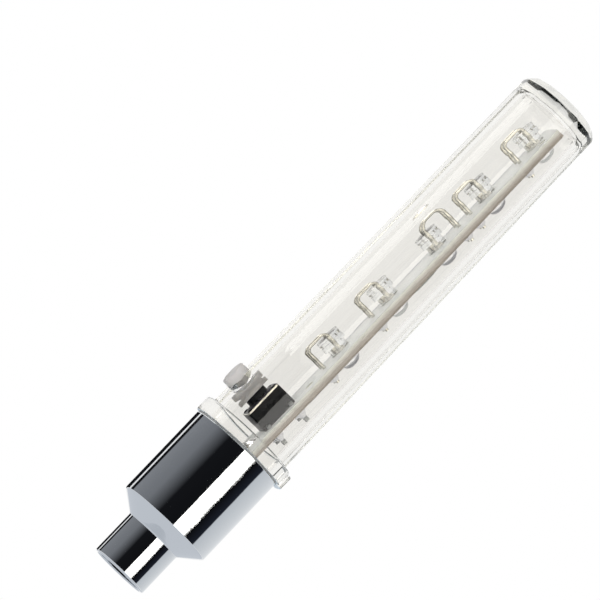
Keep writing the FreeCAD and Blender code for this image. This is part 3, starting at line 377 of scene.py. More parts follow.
# Clear tube: one acrylic moulding, polished outside. Twelve flat sides and a chamfered end outside, a
# round bore inside, a round collar with a lug, and a threaded spigot that screws into the barrel.
TUBE_SIDES = 12
COLLAR_BOTTOM, COLLAR_TOP, COLLAR_RADIUS = 24.25 * MM, 26.55 * MM, 7.9 * MM
TUBE_END, END_CHAMFER = 91.65 * MM, 1.0 * MM
TUBE_BASE_RADIUS, TUBE_END_RADIUS = 6.95 * MM, 6.62 * MM
CHAMFER_RADIUS = TUBE_END_RADIUS + 0.005 * MM
CORNER_FOLD, CORNER_ROUND = math.radians(10), 0.3 * MM
COLLAR_TOP_ROUND, COLLAR_FOOT_ROUND = 0.3 * MM, 0.12 * MM
LUG_LOW, LUG_HIGH, LUG_ROUND = (7.2, -1.5, 23.95), (8.4, 1.5, 26.3), 0.22 * MM
SPIGOT_END, SPIGOT_RADIUS, SPIGOT_CHAMFER = 20.6 * MM, 6.35 * MM, 0.2 * MM
SPIGOT_THREAD_HEIGHT, SPIGOT_RIDGE = 0.36 * MM, 0.55 * MM
SPIGOT_THREAD_START, SPIGOT_TURNS, SPIGOT_THREAD_ANGLE = 21.15 * MM, 2.4, math.pi * 0.6
SEAT_RADIUS, SEAT_TOP = 5.8 * MM, 23.1 * MM
TUBE_BORE_BASE, TUBE_BORE_END, CAVITY_END = 5.7 * MM, 5.4 * MM, 89.15 * MM
CAVITY_ROUND = 1.2 * MM
NOTCH_LOW, NOTCH_HIGH = (-9, -0.95, 20), (-2, 0.95, 23.45)
SWITCH_HEIGHT = 31.25 * MM
PORT_RADIUS, PORT_OUTER, PORT_INNER = 1.95 * MM, -9 * MM, -2 * MM
COLLAR_STEPS, BORE_STEPS = 192, 128
SINK = 0.4 * MM


def block(shape, low, high):
    """A box between two corners in millimetres."""
    made = bmesh.ops.create_cube(shape, size=1)["verts"]
    low, high = Vector(low) * MM, Vector(high) * MM
    bmesh.ops.scale(shape, verts=made, vec=high - low)
    bmesh.ops.translate(shape, verts=made, vec=(low + high) / 2)
    return made


def soften(shape, verts, width, segments=2, wanted=lambda edge: True):
    """Bevel the sharp edges among the vertices."""
    chosen = set(verts)
    edges = [edge for edge in shape.edges
             if edge.verts[0] in chosen and edge.verts[1] in chosen and wanted(edge)]
    bmesh.ops.bevel(shape, geom=edges, offset=width, offset_type="OFFSET", segments=segments,
                    profile=0.5, affect="EDGES", material=-1)


def combined(base, tool, operation):
    """Join, cut or intersect two closed meshes and give back the new one."""
    made = []
    for shape in (base, tool):
        bmesh.ops.recalc_face_normals(shape, faces=shape.faces)
        mesh = bpy.data.meshes.new("cutting")
        shape.to_mesh(mesh)
        shape.free()
        made.append(bpy.data.objects.new("cutting", mesh))
        bpy.context.collection.objects.link(made[-1])
    step = made[0].modifiers.new("cutting", "BOOLEAN")
    step.operation = operation
    step.solver = "EXACT"
    step.object = made[1]
    bpy.context.view_layer.update()
    result = bmesh.new()
    result.from_mesh(made[0].evaluated_get(bpy.context.evaluated_depsgraph_get()).to_mesh())
    for item in made:
        mesh = item.data
        bpy.data.objects.remove(item)
        bpy.data.meshes.remove(mesh)
    return result


def add_loose(base, part):
    """Add a closed mesh to another as a part of its own."""
    mesh = bpy.data.meshes.new("part")
    part.to_mesh(mesh)
    part.free()
    base.from_mesh(mesh)
    bpy.data.meshes.remove(mesh)


def drum(shape, radius, start, end, steps=64, axis=UP, centre=(0, 0, 0)):
    """A plain solid drum, used to cut with or as the start of a turned piece."""
    return turned(shape, [(0, start), (radius, start), (radius, end), (0, end)], axis, steps, centre)


def two_tones(finish, patch_size, detail, codes):
    """Soft patches of one size between two colours; gives their colour and their plain pattern."""
    coordinates = add_node(finish, "ShaderNodeTexCoord")
    patches = add_node(finish, "ShaderNodeTexNoise", {
        "Vector": coordinates.outputs["Object"], "Scale": 1 / patch_size, "Detail": detail})
    tint = add_node(finish, "ShaderNodeValToRGB", {"Fac": patches.outputs["Fac"]})
    for stop, code in zip(tint.color_ramp.elements, codes):
        stop.color = linear(code)
    return tint.outputs["Color"], patches.outputs["Fac"]


# Clear acrylic: almost colourless. Its slight warm tint grows with the depth of plastic, so the edges of
# the tube look cream, and faint streaks of flow some 6 mm long cloud it.
FLOW_SIZE = 6.25 * MM
DEPTH_OF_TINT = 13.0
acrylic, output = new_finish("clear_acrylic")
acrylic_tint, _ = two_tones(acrylic, FLOW_SIZE, 2.0, ("#f7f6f3", "#f9f8f6"))
acrylic_shader = add_node(acrylic, "ShaderNodeBsdfPrincipled", {
    "Base Color": acrylic_tint, "Roughness": 0.0, "IOR": 1.49, "Transmission Weight": 1.0})
finish_surface(acrylic, output, acrylic_shader)
acrylic_depth = add_node(acrylic, "ShaderNodeVolumeAbsorption", {
    "Color": linear("#a09c6c"), "Density": DEPTH_OF_TINT})
acrylic.node_tree.links.new(acrylic_depth.outputs["Volume"], output.inputs["Volume"])


def uneven_gloss(name, spot_size, detail, gloss, surface):
    """A finish whose roughness drifts between two values over spots of one size."""
    finish, output = new_finish(name)
    coordinates = add_node(finish, "ShaderNodeTexCoord")
    spots = add_node(finish, "ShaderNodeTexNoise", {
        "Vector": coordinates.outputs["Object"], "Scale": 1 / spot_size, "Detail": detail})
    roughness = add_node(finish, "ShaderNodeMapRange", {
        "Value": spots.outputs["Fac"], "To Min": gloss[0], "To Max": gloss[1]})
    shader = add_node(finish, "ShaderNodeBsdfPrincipled", {"Roughness": roughness.outputs[0], **surface})
    finish_surface(finish, output, shader)
    return finish


# Matt acrylic: the mould leaves the spigot and the collar's underside frosted, so they look like pale
# milk glass. The frost's real grain is under 0.1 mm, so it is drawn about 1 mm wide to show.
FROST_SIZE = 1.111 * MM
matt_acrylic = uneven_gloss("matt_acrylic", FROST_SIZE, 3.0, (0.4, 0.6), {
    "Base Color": linear("#dfebf4"), "IOR": 1.49, "Transmission Weight": 0.1})

tube = turned(bmesh.new(), [
    (0, COLLAR_TOP - SINK), (TUBE_BASE_RADIUS, COLLAR_TOP - SINK),
    (CHAMFER_RADIUS, TUBE_END - END_CHAMFER), (TUBE_END_RADIUS - END_CHAMFER, TUBE_END),
    (0, TUBE_END)], steps=TUBE_SIDES, start=math.pi / TUBE_SIDES)
corners = [edge for edge in tube.edges
           if len(edge.link_faces) == 2 and edge.calc_face_angle(0) > CORNER_FOLD
           and max(vert.co.z for vert in edge.verts) > COLLAR_TOP]
bmesh.ops.bevel(tube, geom=corners, offset=CORNER_ROUND, offset_type="OFFSET", segments=6, profile=0.5,
                affect="EDGES", material=-1)

collar = drum(bmesh.new(), COLLAR_RADIUS, COLLAR_BOTTOM, COLLAR_TOP, steps=COLLAR_STEPS)
round_rings(collar, [(COLLAR_RADIUS, COLLAR_TOP)], COLLAR_TOP_ROUND, segments=4)
round_rings(collar, [(COLLAR_RADIUS, COLLAR_BOTTOM)], COLLAR_FOOT_ROUND, segments=2)
tube = combined(tube, collar, "UNION")
lug = bmesh.new()
soften(lug, block(lug, LUG_LOW, LUG_HIGH), LUG_ROUND, segments=3)
tube = combined(tube, lug, "UNION")
spigot = drum(bmesh.new(), SPIGOT_RADIUS, SPIGOT_END, COLLAR_BOTTOM + SINK, steps=BORE_STEPS)
round_rings(spigot, [(SPIGOT_RADIUS, SPIGOT_END)], SPIGOT_CHAMFER, segments=1)
tube = combined(tube, spigot, "UNION")
bore = turned(bmesh.new(), [
    (0, SPIGOT_END - SINK), (SEAT_RADIUS, SPIGOT_END - SINK), (SEAT_RADIUS, SEAT_TOP),
    (TUBE_BORE_BASE, SEAT_TOP), (TUBE_BORE_END, CAVITY_END), (0, CAVITY_END)], steps=BORE_STEPS)
round_rings(bore, [(TUBE_BORE_END, CAVITY_END)], CAVITY_ROUND, segments=12)
tube = combined(tube, bore, "DIFFERENCE")
port = drum(bmesh.new(), PORT_RADIUS, PORT_OUTER, PORT_INNER, axis=ACROSS, centre=(0, 0, SWITCH_HEIGHT))
tube = combined(tube, port, "DIFFERENCE")

# The side contact's notch runs through the spigot's wall and its thread. The thread joins the tube last,
# as a part of its own.
spigot_thread = bmesh.new()
thread_ridge(spigot_thread, SPIGOT_RADIUS, SPIGOT_RADIUS + SPIGOT_THREAD_HEIGHT, SCREW_PITCH,
             SPIGOT_THREAD_START, SPIGOT_TURNS, SPIGOT_RIDGE, start=SPIGOT_THREAD_ANGLE)
notched = []
for shape in (spigot_thread, tube):
    notch = bmesh.new()
    block(notch, NOTCH_LOW, NOTCH_HIGH)
    notched.append(combined(shape, notch, "DIFFERENCE"))
spigot_thread, tube = notched

# Mould mark: a small raised drop on the wall, narrower towards its foot.
MARK_HEIGHT, MARK_ANGLE, MARK_RADIUS = 66.0 * MM, math.radians(-50), 6.6 * MM
MARK_WIDTH, MARK_DEPTH, MARK_LENGTH, MARK_TWIST = 0.24, 0.16, 0.95, math.radians(-60)
mark = bmesh.new()
bmesh.ops.create_uvsphere(mark, u_segments=24, v_segments=16, radius=1)
for vert in mark.verts:
    width = MARK_WIDTH * (0.55 + 0.45 * vert.co.z)
    vert.co = Vector((vert.co.x * width, vert.co.y * MARK_DEPTH, vert.co.z * MARK_LENGTH)) * MM
bmesh.ops.rotate(mark, verts=mark.verts, cent=(0, 0, 0), matrix=Matrix.Rotation(MARK_TWIST, 3, "Z"))
bmesh.ops.translate(mark, verts=mark.verts, vec=(
    math.sin(MARK_ANGLE) * MARK_RADIUS, -math.cos(MARK_ANGLE) * MARK_RADIUS, MARK_HEIGHT))
tube = combined(tube, mark, "UNION")
add_loose(tube, spigot_thread)
for face in tube.faces:
    face.material_index = 1 if max(vert.co.z for vert in face.verts) < COLLAR_BOTTOM + NEAR else 0
tube_piece = finished_piece("clear_tube", tube, "tube", acrylic, sharp=12,
                            more=(matt_acrylic,))
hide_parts("light_tube")

# Circuit board: glass-epoxy laminate, 1 mm thick, with white solder mask on both faces. Routed edges show
# the laminate. Drilled holes take the lamps, their leads and the switch pins.
BOARD_FACE, BOARD_BACK = 1.0, 2.0
HALF_BOARD = 4.8
BOARD_LOW, BOARD_HIGH = 22.1, 87.65
BOARD_CORNER = 0.5 * MM
LED_HEIGHTS = [44.2 + 10.1 * index for index in range(5)]
LEAD_SIDE = 1.27
LEAD_ROWS = [height + (4.0 if index == 2 else -3.6) for index, height in enumerate(LED_HEIGHTS)]
PIN_SIDE, PIN_ALONG = 3.25, 2.25
LED_HOLE, LEAD_HOLE, PIN_HOLE, HOLE_STEPS = 1.6, 0.4, 0.45, 32
BARE_HOLES = [(-3.1, 84.95, 0.7), (-2.1, 37.3, 0.75)]
switch_mid = SWITCH_HEIGHT / MM

# White solder mask: an even satin white that is a little greyer in soft patches 2 to 3 mm wide, where the
# printed film is thinner.
MOTTLE_SIZE = 2.381 * MM
mask, output = new_finish("white_solder_mask")
mask_tint, mottle = two_tones(mask, MOTTLE_SIZE, 4.0, ("#eff2f1", "#f8faf9"))
mask_bump = add_node(mask, "ShaderNodeBump", {"Height": mottle, "Strength": 0.15, "Distance": 0.05 * MM})
mask_shader = add_node(mask, "ShaderNodeBsdfPrincipled", {
    "Base Color": mask_tint, "Roughness": 0.42, "Normal": mask_bump.outputs["Normal"]})
finish_surface(mask, output, mask_shader)

# Glass-epoxy laminate: the routed edge shows the glass cloth in layers about 0.2 mm thick, with yarns about
# 0.45 mm wide, so it looks dull and finely striped in yellow-green resin. A wave of the texture is
# 2 pi / 20 long at a scale of 1, and covers two layers.
PLY_THICKNESS, YARN_WIDTH = 0.1963 * MM, 0.4545 * MM
laminate, output = new_finish("glass_epoxy_laminate")
coordinates = add_node(laminate, "ShaderNodeTexCoord")
plies = add_node(laminate, "ShaderNodeTexWave", {
    "Vector": coordinates.outputs["Object"], "Scale": math.pi / 20 / PLY_THICKNESS, "Distortion": 1.5,
    "Detail": 2.0}, bands_direction="X")
fibre = add_node(laminate, "ShaderNodeTexNoise", {
    "Vector": coordinates.outputs["Object"], "Scale": 1 / YARN_WIDTH, "Detail": 3.0})
ply_mix = add_node(laminate, "ShaderNodeMath", {0: plies.outputs["Fac"], 1: fibre.outputs["Fac"]},
                   operation="MULTIPLY")
# Painted shade: the edge is drawn darker and browner from the face side towards the back face, which is the
# half turned away from the bright fill card. The ramp's brown end mostly shows there.
depth = add_node(laminate, "ShaderNodeSeparateXYZ", {"Vector": coordinates.outputs["Object"]})
painted_back_shade = add_node(laminate, "ShaderNodeMapRange", {
    "Value": depth.outputs["X"], "From Min": 1.2 * MM, "From Max": 1.8 * MM})
plies_and_painted_shade = add_node(laminate, "ShaderNodeMath", {0: ply_mix.outputs[0], 1: 0.35, 2: painted_back_shade.outputs[0]},
                         operation="MULTIPLY_ADD")
laminate_tint = add_node(laminate, "ShaderNodeValToRGB", {"Fac": plies_and_painted_shade.outputs[0]})
laminate_tint.color_ramp.elements[0].color = linear("#f0f2e8")
laminate_tint.color_ramp.elements[1].color = linear("#c6bbb0")
laminate_bump = add_node(laminate, "ShaderNodeBump", {
    "Height": fibre.outputs["Fac"], "Strength": 0.3, "Distance": 0.05 * MM})
laminate_shader = add_node(laminate, "ShaderNodeBsdfPrincipled", {
    "Base Color": laminate_tint.outputs["Color"], "Roughness": 0.7,
    "Normal": laminate_bump.outputs["Normal"]})
finish_surface(laminate, output, laminate_shader)


def through(edge):
    """True for an edge that runs through the thickness of a plate or block, from face to face."""
    return abs(edge.verts[0].co.x - edge.verts[1].co.x) > 0.1 * MM


board = bmesh.new()
corners = block(board, (BOARD_FACE, -HALF_BOARD, BOARD_LOW), (BOARD_BACK, HALF_BOARD, BOARD_HIGH))
soften(board, corners, BOARD_CORNER, segments=1, wanted=lambda edge: (
    through(edge) and edge.verts[0].co.z > (BOARD_HIGH - 0.01) * MM))
drills = [(0, height, LED_HOLE) for height in LED_HEIGHTS]
drills += [(side, height, LEAD_HOLE) for height in LEAD_ROWS for side in (-LEAD_SIDE, LEAD_SIDE)]
drills += [(side, switch_mid + along, PIN_HOLE) for side in (-PIN_SIDE, PIN_SIDE)
           for along in (-PIN_ALONG, PIN_ALONG)]
drills += BARE_HOLES
holes = bmesh.new()
for side, height, radius in drills:
    drum(holes, radius * MM, (BOARD_FACE - 0.5) * MM, (BOARD_BACK + 0.5) * MM, steps=HOLE_STEPS, axis=ACROSS,
         centre=(0, side * MM, height * MM))
board = combined(board, holes, "DIFFERENCE")
for face in board.faces:
    face.normal_update()
    face.material_index = 0 if abs(face.normal.x) > 0.9 else 1
board_piece = finished_piece("circuit_board_sheet", board, "tube", mask, more=(laminate,))
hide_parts("circuit_board")

# Copper: tracks, pads and broad fields of copper foil, 0.035 mm thick before plating. They are etched from
# the board's faces, and the white solder mask is printed over them.
FOIL = 0.04
TRACK_ROUND = 0.015 * MM
TRACK_LOW, TRACK_HIGH, STEM_LOW = 35.2, 83.5, 26.7
RAIL_SIDE, HALF_RAIL, HALF_STEM = 4.475, 0.175, 0.25
BRANCH_NEAR, BRANCH_FAR = 2.0, 4.3
FACE_RAIL_EDGE = 4.65
HALF_FIELD, FIELD_SHARE = 3.7, 0.6
FIELDS = ((32.9, 34.9), (42.0, 50.0), (57.6, 80.0))

# Copper under mask: it shines through the white as grey-violet lines and fields, slightly uneven over
# about 2 mm.
ETCH_SIZE = 2.0 * MM
copper, output = new_finish("copper_under_mask")
copper_tint, _ = two_tones(copper, ETCH_SIZE, 3.0, ("#a19ea6", "#b4b1b6"))
copper_shader = add_node(copper, "ShaderNodeBsdfPrincipled", {"Base Color": copper_tint, "Roughness": 0.4})
finish_surface(copper, output, copper_shader)

tracks = bmesh.new()


def track(low, high):
    """A strip of foil between two corners in millimetres, with softened edges."""
    soften(tracks, block(tracks, low, high), TRACK_ROUND, segments=1)


for side in (-RAIL_SIDE, RAIL_SIDE):
    track((BOARD_BACK, side - HALF_RAIL, TRACK_LOW), (BOARD_BACK + FOIL, side + HALF_RAIL, TRACK_HIGH))
track((BOARD_BACK, -BRANCH_FAR, TRACK_LOW), (BOARD_BACK + FOIL, BRANCH_FAR, TRACK_LOW + 2 * HALF_STEM))
track((BOARD_BACK, -HALF_STEM, STEM_LOW), (BOARD_BACK + FOIL, HALF_STEM, TRACK_LOW))
for height in LEAD_ROWS:
    for sign in (-1, 1):
        near, far = sorted((sign * BRANCH_NEAR, sign * BRANCH_FAR))
        track((BOARD_BACK, near, height - HALF_STEM), (BOARD_BACK + FOIL, far, height + HALF_STEM))
track((BOARD_FACE - FOIL, BRANCH_FAR, TRACK_LOW), (BOARD_FACE, FACE_RAIL_EDGE, TRACK_HIGH))
for low, high in FIELDS:
    block(tracks, (BOARD_BACK, -HALF_FIELD, low), (BOARD_BACK + FOIL * FIELD_SHARE, HALF_FIELD, high))
tracks_piece = finished_piece("copper_tracks", tracks, "tube", copper)
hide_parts("copper_traces")

# Solder: tin alloy, melted round each lead and pin on the board's back, where it is drawn up the metal in
# a hollow cone. A flat mound on each face holds the wire of the battery contact.
LEAD_MOUND, LEAD_RISE = 1.1, 1.1
PIN_MOUND, PIN_RISE = 1.0, 1.1
CONTACT_MOUND, CONTACT_RISE, CONTACT_HEIGHT = 1.1, 0.55, 25.5
MOUND_SHAPE = ((0, 0), (1, 0), (0.93, 0.12), (0.68, 0.42), (0.45, 0.78), (0.34, 1), (0, 1))

# Bright solder: a shiny silver surface with a faint crystal grain. The real grain is about 0.1 mm, so it
# is drawn several times coarser to show.
GRAIN_SIZE = 0.6667 * MM
solder, output = new_finish("bright_solder")
coordinates = add_node(solder, "ShaderNodeTexCoord")
grain = add_node(solder, "ShaderNodeTexNoise", {
    "Vector": coordinates.outputs["Object"], "Scale": 1 / GRAIN_SIZE, "Detail": 3.0})
solder_bump = add_node(solder, "ShaderNodeBump", {
    "Height": grain.outputs["Fac"], "Strength": 0.2, "Distance": 0.1 * MM})
solder_shader = add_node(solder, "ShaderNodeBsdfPrincipled", {
    "Base Color": linear("#e8e8ea"), "Metallic": 1.0, "Roughness": 0.15,
    "Normal": solder_bump.outputs["Normal"]})
finish_surface(solder, output, solder_shader)

joints = bmesh.new()


def solder_mound(side, height, radius, rise, face=BOARD_BACK, sign=1):
    """A hollow cone of solder on a face of the board, its sizes in millimetres."""
    profile = [(radius * share, face + sign * rise * lift) for share, lift in MOUND_SHAPE]
    turned(joints, [(r * MM, x * MM) for r, x in profile], ACROSS, 24, (0, side * MM, height * MM))


for height in LEAD_ROWS:
    for side in (-LEAD_SIDE, LEAD_SIDE):
        solder_mound(side, height, LEAD_MOUND, LEAD_RISE)
for side in (-PIN_SIDE, PIN_SIDE):
    for along in (-PIN_ALONG, PIN_ALONG):
        solder_mound(side, switch_mid + along, PIN_MOUND, PIN_RISE)
solder_mound(0, CONTACT_HEIGHT, CONTACT_MOUND, CONTACT_RISE)
solder_mound(0, CONTACT_HEIGHT, CONTACT_MOUND, CONTACT_RISE, BOARD_FACE, -1)
joints_piece = finished_piece("solder_mounds", joints, "tube", solder, sharp=50)
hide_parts("solder_joints")

# Chip: a bare die glued and wired to the board's back, under a low drop of resin that spread as it set.
# The drop is about 6.6 mm across and 0.55 mm high.
DROP_SIDE, DROP_HEIGHT = -0.5, 59.35
DROP_SHAPE = ((0, 1.99), (3.3, 1.99), (3.22, 2.12), (2.9, 2.28), (2.2, 2.43), (1.2, 2.52), (0, 2.55))


def in_metres(profile):
    """The (radius, height) points of a profile drawn in millimetres."""
    return [(radius * MM, height * MM) for radius, height in profile]


# Pale chip resin: a glossy grey-green with soft clouds some 3 mm wide, and slightly see-through at its
# thin edge.
CLOUD_SIZE = 2.857 * MM
resin, output = new_finish("pale_chip_resin")
resin_tint, _ = two_tones(resin, CLOUD_SIZE, 3.0, ("#a8b0af", "#bcc4c2"))
resin_shader = add_node(resin, "ShaderNodeBsdfPrincipled", {
    "Base Color": resin_tint, "Roughness": 0.22, "Subsurface Weight": 0.15,
    "Subsurface Radius": (0.4 * MM, 0.4 * MM, 0.3 * MM)})
finish_surface(resin, output, resin_shader)
drop = turned(bmesh.new(), in_metres(DROP_SHAPE), ACROSS, 64, (0, DROP_SIDE * MM, DROP_HEIGHT * MM))
drop_piece = finished_piece("chip_resin_drop", drop, "tube", resin, sharp=60)
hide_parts("chip_blob")

# Lamps: 3 mm water-clear epoxy LEDs, stuck through holes in the board. A flange with a flat, a domed
# lens, and inside it the stamped lead frame: a post, and an anvil whose cup holds the die.
LED_BASE, LED_TIP, FLANGE_TOP = -1.5, 3.8, -0.5
FLANGE_RADIUS, LENS_RADIUS, LENS_TIP_RADIUS = 1.9, 1.5, 1.48
DOME_ROUND, FLANGE_ROUND = 1.46 * MM, 0.06 * MM
FLANGE_FLAT = -1.6 * MM
LEAD_WIDTH, LEAD_END = 0.5, 3.6
REACH, BEND = 1.0, 0.9
TURNED_REACH, TURNED_BEND = 1.8, 1.5
CUP_SIDE = -0.45
CUP_SHAPE = ((0, 0.3), (0.5, 0.3), (0.62, 1.1), (0.55, 1.1), (0.3, 0.75), (0, 0.75))
FRAME_STRIPS = (((-1.5, -1.52), (-0.7, -1.02), 0.04), ((-0.9, -1.2), (0.5, -0.5), 0.05),
                ((-1.5, 1.02), (0.9, 1.2), 0.04))
HALF_STRIP = 0.25

# Water-clear epoxy: as clear as glass, with waves some 3 mm long from casting that bend what lies behind.
CASTING_SIZE = 3.333 * MM
epoxy, output = new_finish("water_clear_epoxy")
epoxy_shader = add_node(epoxy, "ShaderNodeBsdfPrincipled", {
    "Base Color": linear("#fbfcfd"), "Roughness": 0.0, "IOR": 1.53, "Transmission Weight": 1.0})
coordinates = add_node(epoxy, "ShaderNodeTexCoord")
casting = add_node(epoxy, "ShaderNodeTexNoise", {
    "Vector": coordinates.outputs["Object"], "Scale": 1 / CASTING_SIZE, "Detail": 1.0})
casting_bump = add_node(epoxy, "ShaderNodeBump", {
    "Height": casting.outputs["Fac"], "Strength": 0.03, "Distance": 0.3 * MM})
epoxy.node_tree.links.new(casting_bump.outputs["Normal"], epoxy_shader.inputs["Normal"])
finish_surface(epoxy, output, epoxy_shader)

# Tinned steel: warm silver wire with a soft shine, duller in spots about 1 mm long where it was handled.
DULL_SIZE = 1.111 * MM
tinned = uneven_gloss("tinned_steel_lead", DULL_SIZE, 3.0, (0.14, 0.3), {
    "Base Color": linear("#cfccc2"), "Metallic": 1.0})


def bent_wire(shape, start, heading, width, moves):
    """Draw a wire with rounded corners by straight moves (length) and bends (axis, angle, radius)."""
    direction = Vector(heading)
    side = SIDEWAYS if abs(direction.y) < 0.5 else UP
    other = direction.cross(side)
    point = Vector(start) * MM
    half = width / 2 * MM
    corners = ((-1, -0.5), (-0.5, -1), (0.5, -1), (1, -0.5), (1, 0.5), (0.5, 1), (-0.5, 1), (-1, 0.5))
    section = [shape.verts.new(point + side * half * a + other * half * b) for a, b in corners]
    face = shape.faces.new(section)
    shape.faces.new(reversed([shape.verts.new(vert.co) for vert in section]))
    for move in moves:
        if isinstance(move, (int, float)):
            made = bmesh.ops.extrude_face_region(shape, geom=[face])
            face = [item for item in made["geom"] if isinstance(item, bmesh.types.BMFace)][0]
            bmesh.ops.translate(shape, verts=face.verts, vec=direction * move * MM)
            point = point + direction * move * MM
            continue
        axis, angle, radius = move
        axis = Vector(axis)
        centre = point + axis.cross(direction) * radius * MM * (1 if angle > 0 else -1)
        made = bmesh.ops.spin(shape, geom=face.verts[:] + face.edges[:] + [face], cent=centre, axis=axis,
                              angle=math.radians(angle), steps=8)
        face = [item for item in made["geom_last"] if isinstance(item, bmesh.types.BMFace)][0]
        rotation = Matrix.Rotation(math.radians(angle), 3, axis)
        point = centre + rotation @ (point - centre)
        direction = rotation @ direction
    bmesh.ops.remove_doubles(shape, verts=shape.verts, dist=NEAR)


for number, (height, row) in enumerate(zip(LED_HEIGHTS, LEAD_ROWS), start=1):
    centre = (0, 0, height * MM)
    lens = turned(bmesh.new(), in_metres([
        (0, LED_BASE), (FLANGE_RADIUS, LED_BASE), (FLANGE_RADIUS, FLANGE_TOP), (LENS_RADIUS, FLANGE_TOP),
        (LENS_TIP_RADIUS, LED_TIP), (0, LED_TIP)]), ACROSS, 48, centre)
    round_rings(lens, in_metres([(LENS_TIP_RADIUS, LED_TIP)]), DOME_ROUND, segments=10, axis=ACROSS,
                centre=centre)
    round_rings(lens, in_metres([(FLANGE_RADIUS, LED_BASE), (FLANGE_RADIUS, FLANGE_TOP)]), FLANGE_ROUND,
                segments=2, axis=ACROSS, centre=centre)
    for vert in lens.verts:
        vert.co.y = max(vert.co.y, FLANGE_FLAT)
    lens_piece = finished_piece(f"led_{number}_lens", lens, "tube", epoxy, sharp=20)
    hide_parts(f"led_{number}")

    # The leads leave the lens towards the button, turn back in a rounded arch and pass through the board.
    wires = bmesh.new()
    rise = row - height
    reach, bend = (TURNED_REACH, TURNED_BEND) if number == 3 else (REACH, BEND)
    turn_angle = 90 if rise > 0 else -90
    for side in (-LEAD_SIDE, LEAD_SIDE):
        bent_wire(wires, (LED_BASE, side, height), (-1, 0, 0), LEAD_WIDTH, [
            reach - bend, (SIDEWAYS, turn_angle, bend), abs(rise) - 2 * bend,
            (SIDEWAYS, turn_angle, bend), LEAD_END - LED_BASE + reach - bend])
    for low, high, edge_width in FRAME_STRIPS:
        soften(wires, block(wires, (*low, height - HALF_STRIP), (*high, height + HALF_STRIP)),
               edge_width * MM, segments=1)
    cup = turned(bmesh.new(), in_metres(CUP_SHAPE), ACROSS, 32, (0, CUP_SIDE * MM, height * MM))
    add_loose(wires, cup)
    wires_piece = finished_piece(f"led_{number}_lead_frame", wires, "tube", tinned, sharp=40)
    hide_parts(f"led_{number}_leads")

# Tact switch: a moulded black base with four heat-staked posts, a sprung cover plate pressed into a ring
# round the plunger, the round plunger, and four kinked pins that hold it in the board.
HALF_SWITCH, SWITCH_BACK, COVER_BACK, COVER_FACE = 3, 1.0, -2.2, -2.5
BASE_CORNER, COVER_CORNER = 0.3 * MM, 0.3 * MM
CUT_START = -3 * MM
WELL_RADIUS, WELL_FLOOR = 2.4 * MM, -0.4 * MM
OPENING_RADIUS, OPENING_END = 1.8 * MM, -2 * MM
RING_SHAPE = ((2.45, -2.45), (2.3, -2.72), (2.05, -2.85), (1.84, -2.85), (1.84, -2.45), (2.45, -2.45))
RIM_START = 2.6 * MM
STAKE_SIDE = 2.35
STAKE_SHAPE = ((0, -2.45), (0.42, -2.45), (0.42, -2.62), (0.3, -2.75), (0, -2.78))
PLUNGER_RADIUS, PLUNGER_TOP, PLUNGER_ROUND = 1.72, -4.0, 0.15 * MM
PLUNGER_SHAPE = ((0, PLUNGER_TOP), (PLUNGER_RADIUS, PLUNGER_TOP), (PLUNGER_RADIUS, -2.2), (2.1, -2.2),
                 (2.1, -1.6), (0.8, -1.6), (0.8, -1.2), (0, -1.2))
HALF_PIN, PIN_ROOT, PIN_KNEE, PIN_TIP, PIN_OUTER, PIN_ROUND = 0.35, 0.3, 0.6, 4.0, 3.4, 0.05 * MM
switch_centre = (0, 0, SWITCH_HEIGHT)

# Moulded black nylon: a soft, nearly matt black. The mould's texture is finer than 0.1 mm, so it is drawn
# about 0.56 mm wide to show.
MOULD_SIZE = 0.5556 * MM
moulded_black, output = new_finish("moulded_black_nylon")
coordinates = add_node(moulded_black, "ShaderNodeTexCoord")
mould = add_node(moulded_black, "ShaderNodeTexNoise", {
    "Vector": coordinates.outputs["Object"], "Scale": 1 / MOULD_SIZE, "Detail": 2.0})
mould_bump = add_node(moulded_black, "ShaderNodeBump", {
    "Height": mould.outputs["Fac"], "Strength": 0.2, "Distance": 0.08 * MM})
black_shader = add_node(moulded_black, "ShaderNodeBsdfPrincipled", {
    "Base Color": linear("#0b0b0d"), "Roughness": 0.45, "Specular IOR Level": 0.25,
    "Normal": mould_bump.outputs["Normal"]})
finish_surface(moulded_black, output, black_shader)

base = bmesh.new()
corners = block(base, (COVER_BACK, -HALF_SWITCH, switch_mid - HALF_SWITCH),
                (SWITCH_BACK, HALF_SWITCH, switch_mid + HALF_SWITCH))
soften(base, corners, BASE_CORNER, segments=3, wanted=through)
well = drum(bmesh.new(), WELL_RADIUS, CUT_START, WELL_FLOOR, 48, ACROSS, switch_centre)
base = combined(base, well, "DIFFERENCE")
base_piece = finished_piece("switch_block", base, "tube", moulded_black)
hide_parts("switch_base")

# Black nickel: dark grey sheet metal with a soft shine, broken by rolling marks about 0.8 mm apart. Its
# cut rim is left bright and tinned.
ROLLING_SIZE = 0.8333 * MM
cover_steel = uneven_gloss("black_nickel_cover", ROLLING_SIZE, 2.0, (0.2, 0.34), {
    "Base Color": linear("#45434a"), "Metallic": 1.0})

cover = bmesh.new()
corners = block(cover, (COVER_FACE, -HALF_SWITCH, switch_mid - HALF_SWITCH),
                (COVER_BACK, HALF_SWITCH, switch_mid + HALF_SWITCH))
soften(cover, corners, COVER_CORNER, segments=3, wanted=through)
opening = drum(bmesh.new(), OPENING_RADIUS, CUT_START, OPENING_END, 48, ACROSS, switch_centre)
cover = combined(cover, opening, "DIFFERENCE")
ring = turned(bmesh.new(), in_metres(RING_SHAPE), ACROSS, 48, switch_centre)
cover = combined(cover, ring, "UNION")
for face in cover.faces:
    face.normal_update()
    rim = abs(face.normal.x) < 0.3 and max(abs(vert.co.y) for vert in face.verts) > RIM_START
    face.material_index = 1 if rim else 0
cover_piece = finished_piece("switch_cover_plate", cover, "tube", cover_steel,
                             more=(tinned,))
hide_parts("switch_cover")

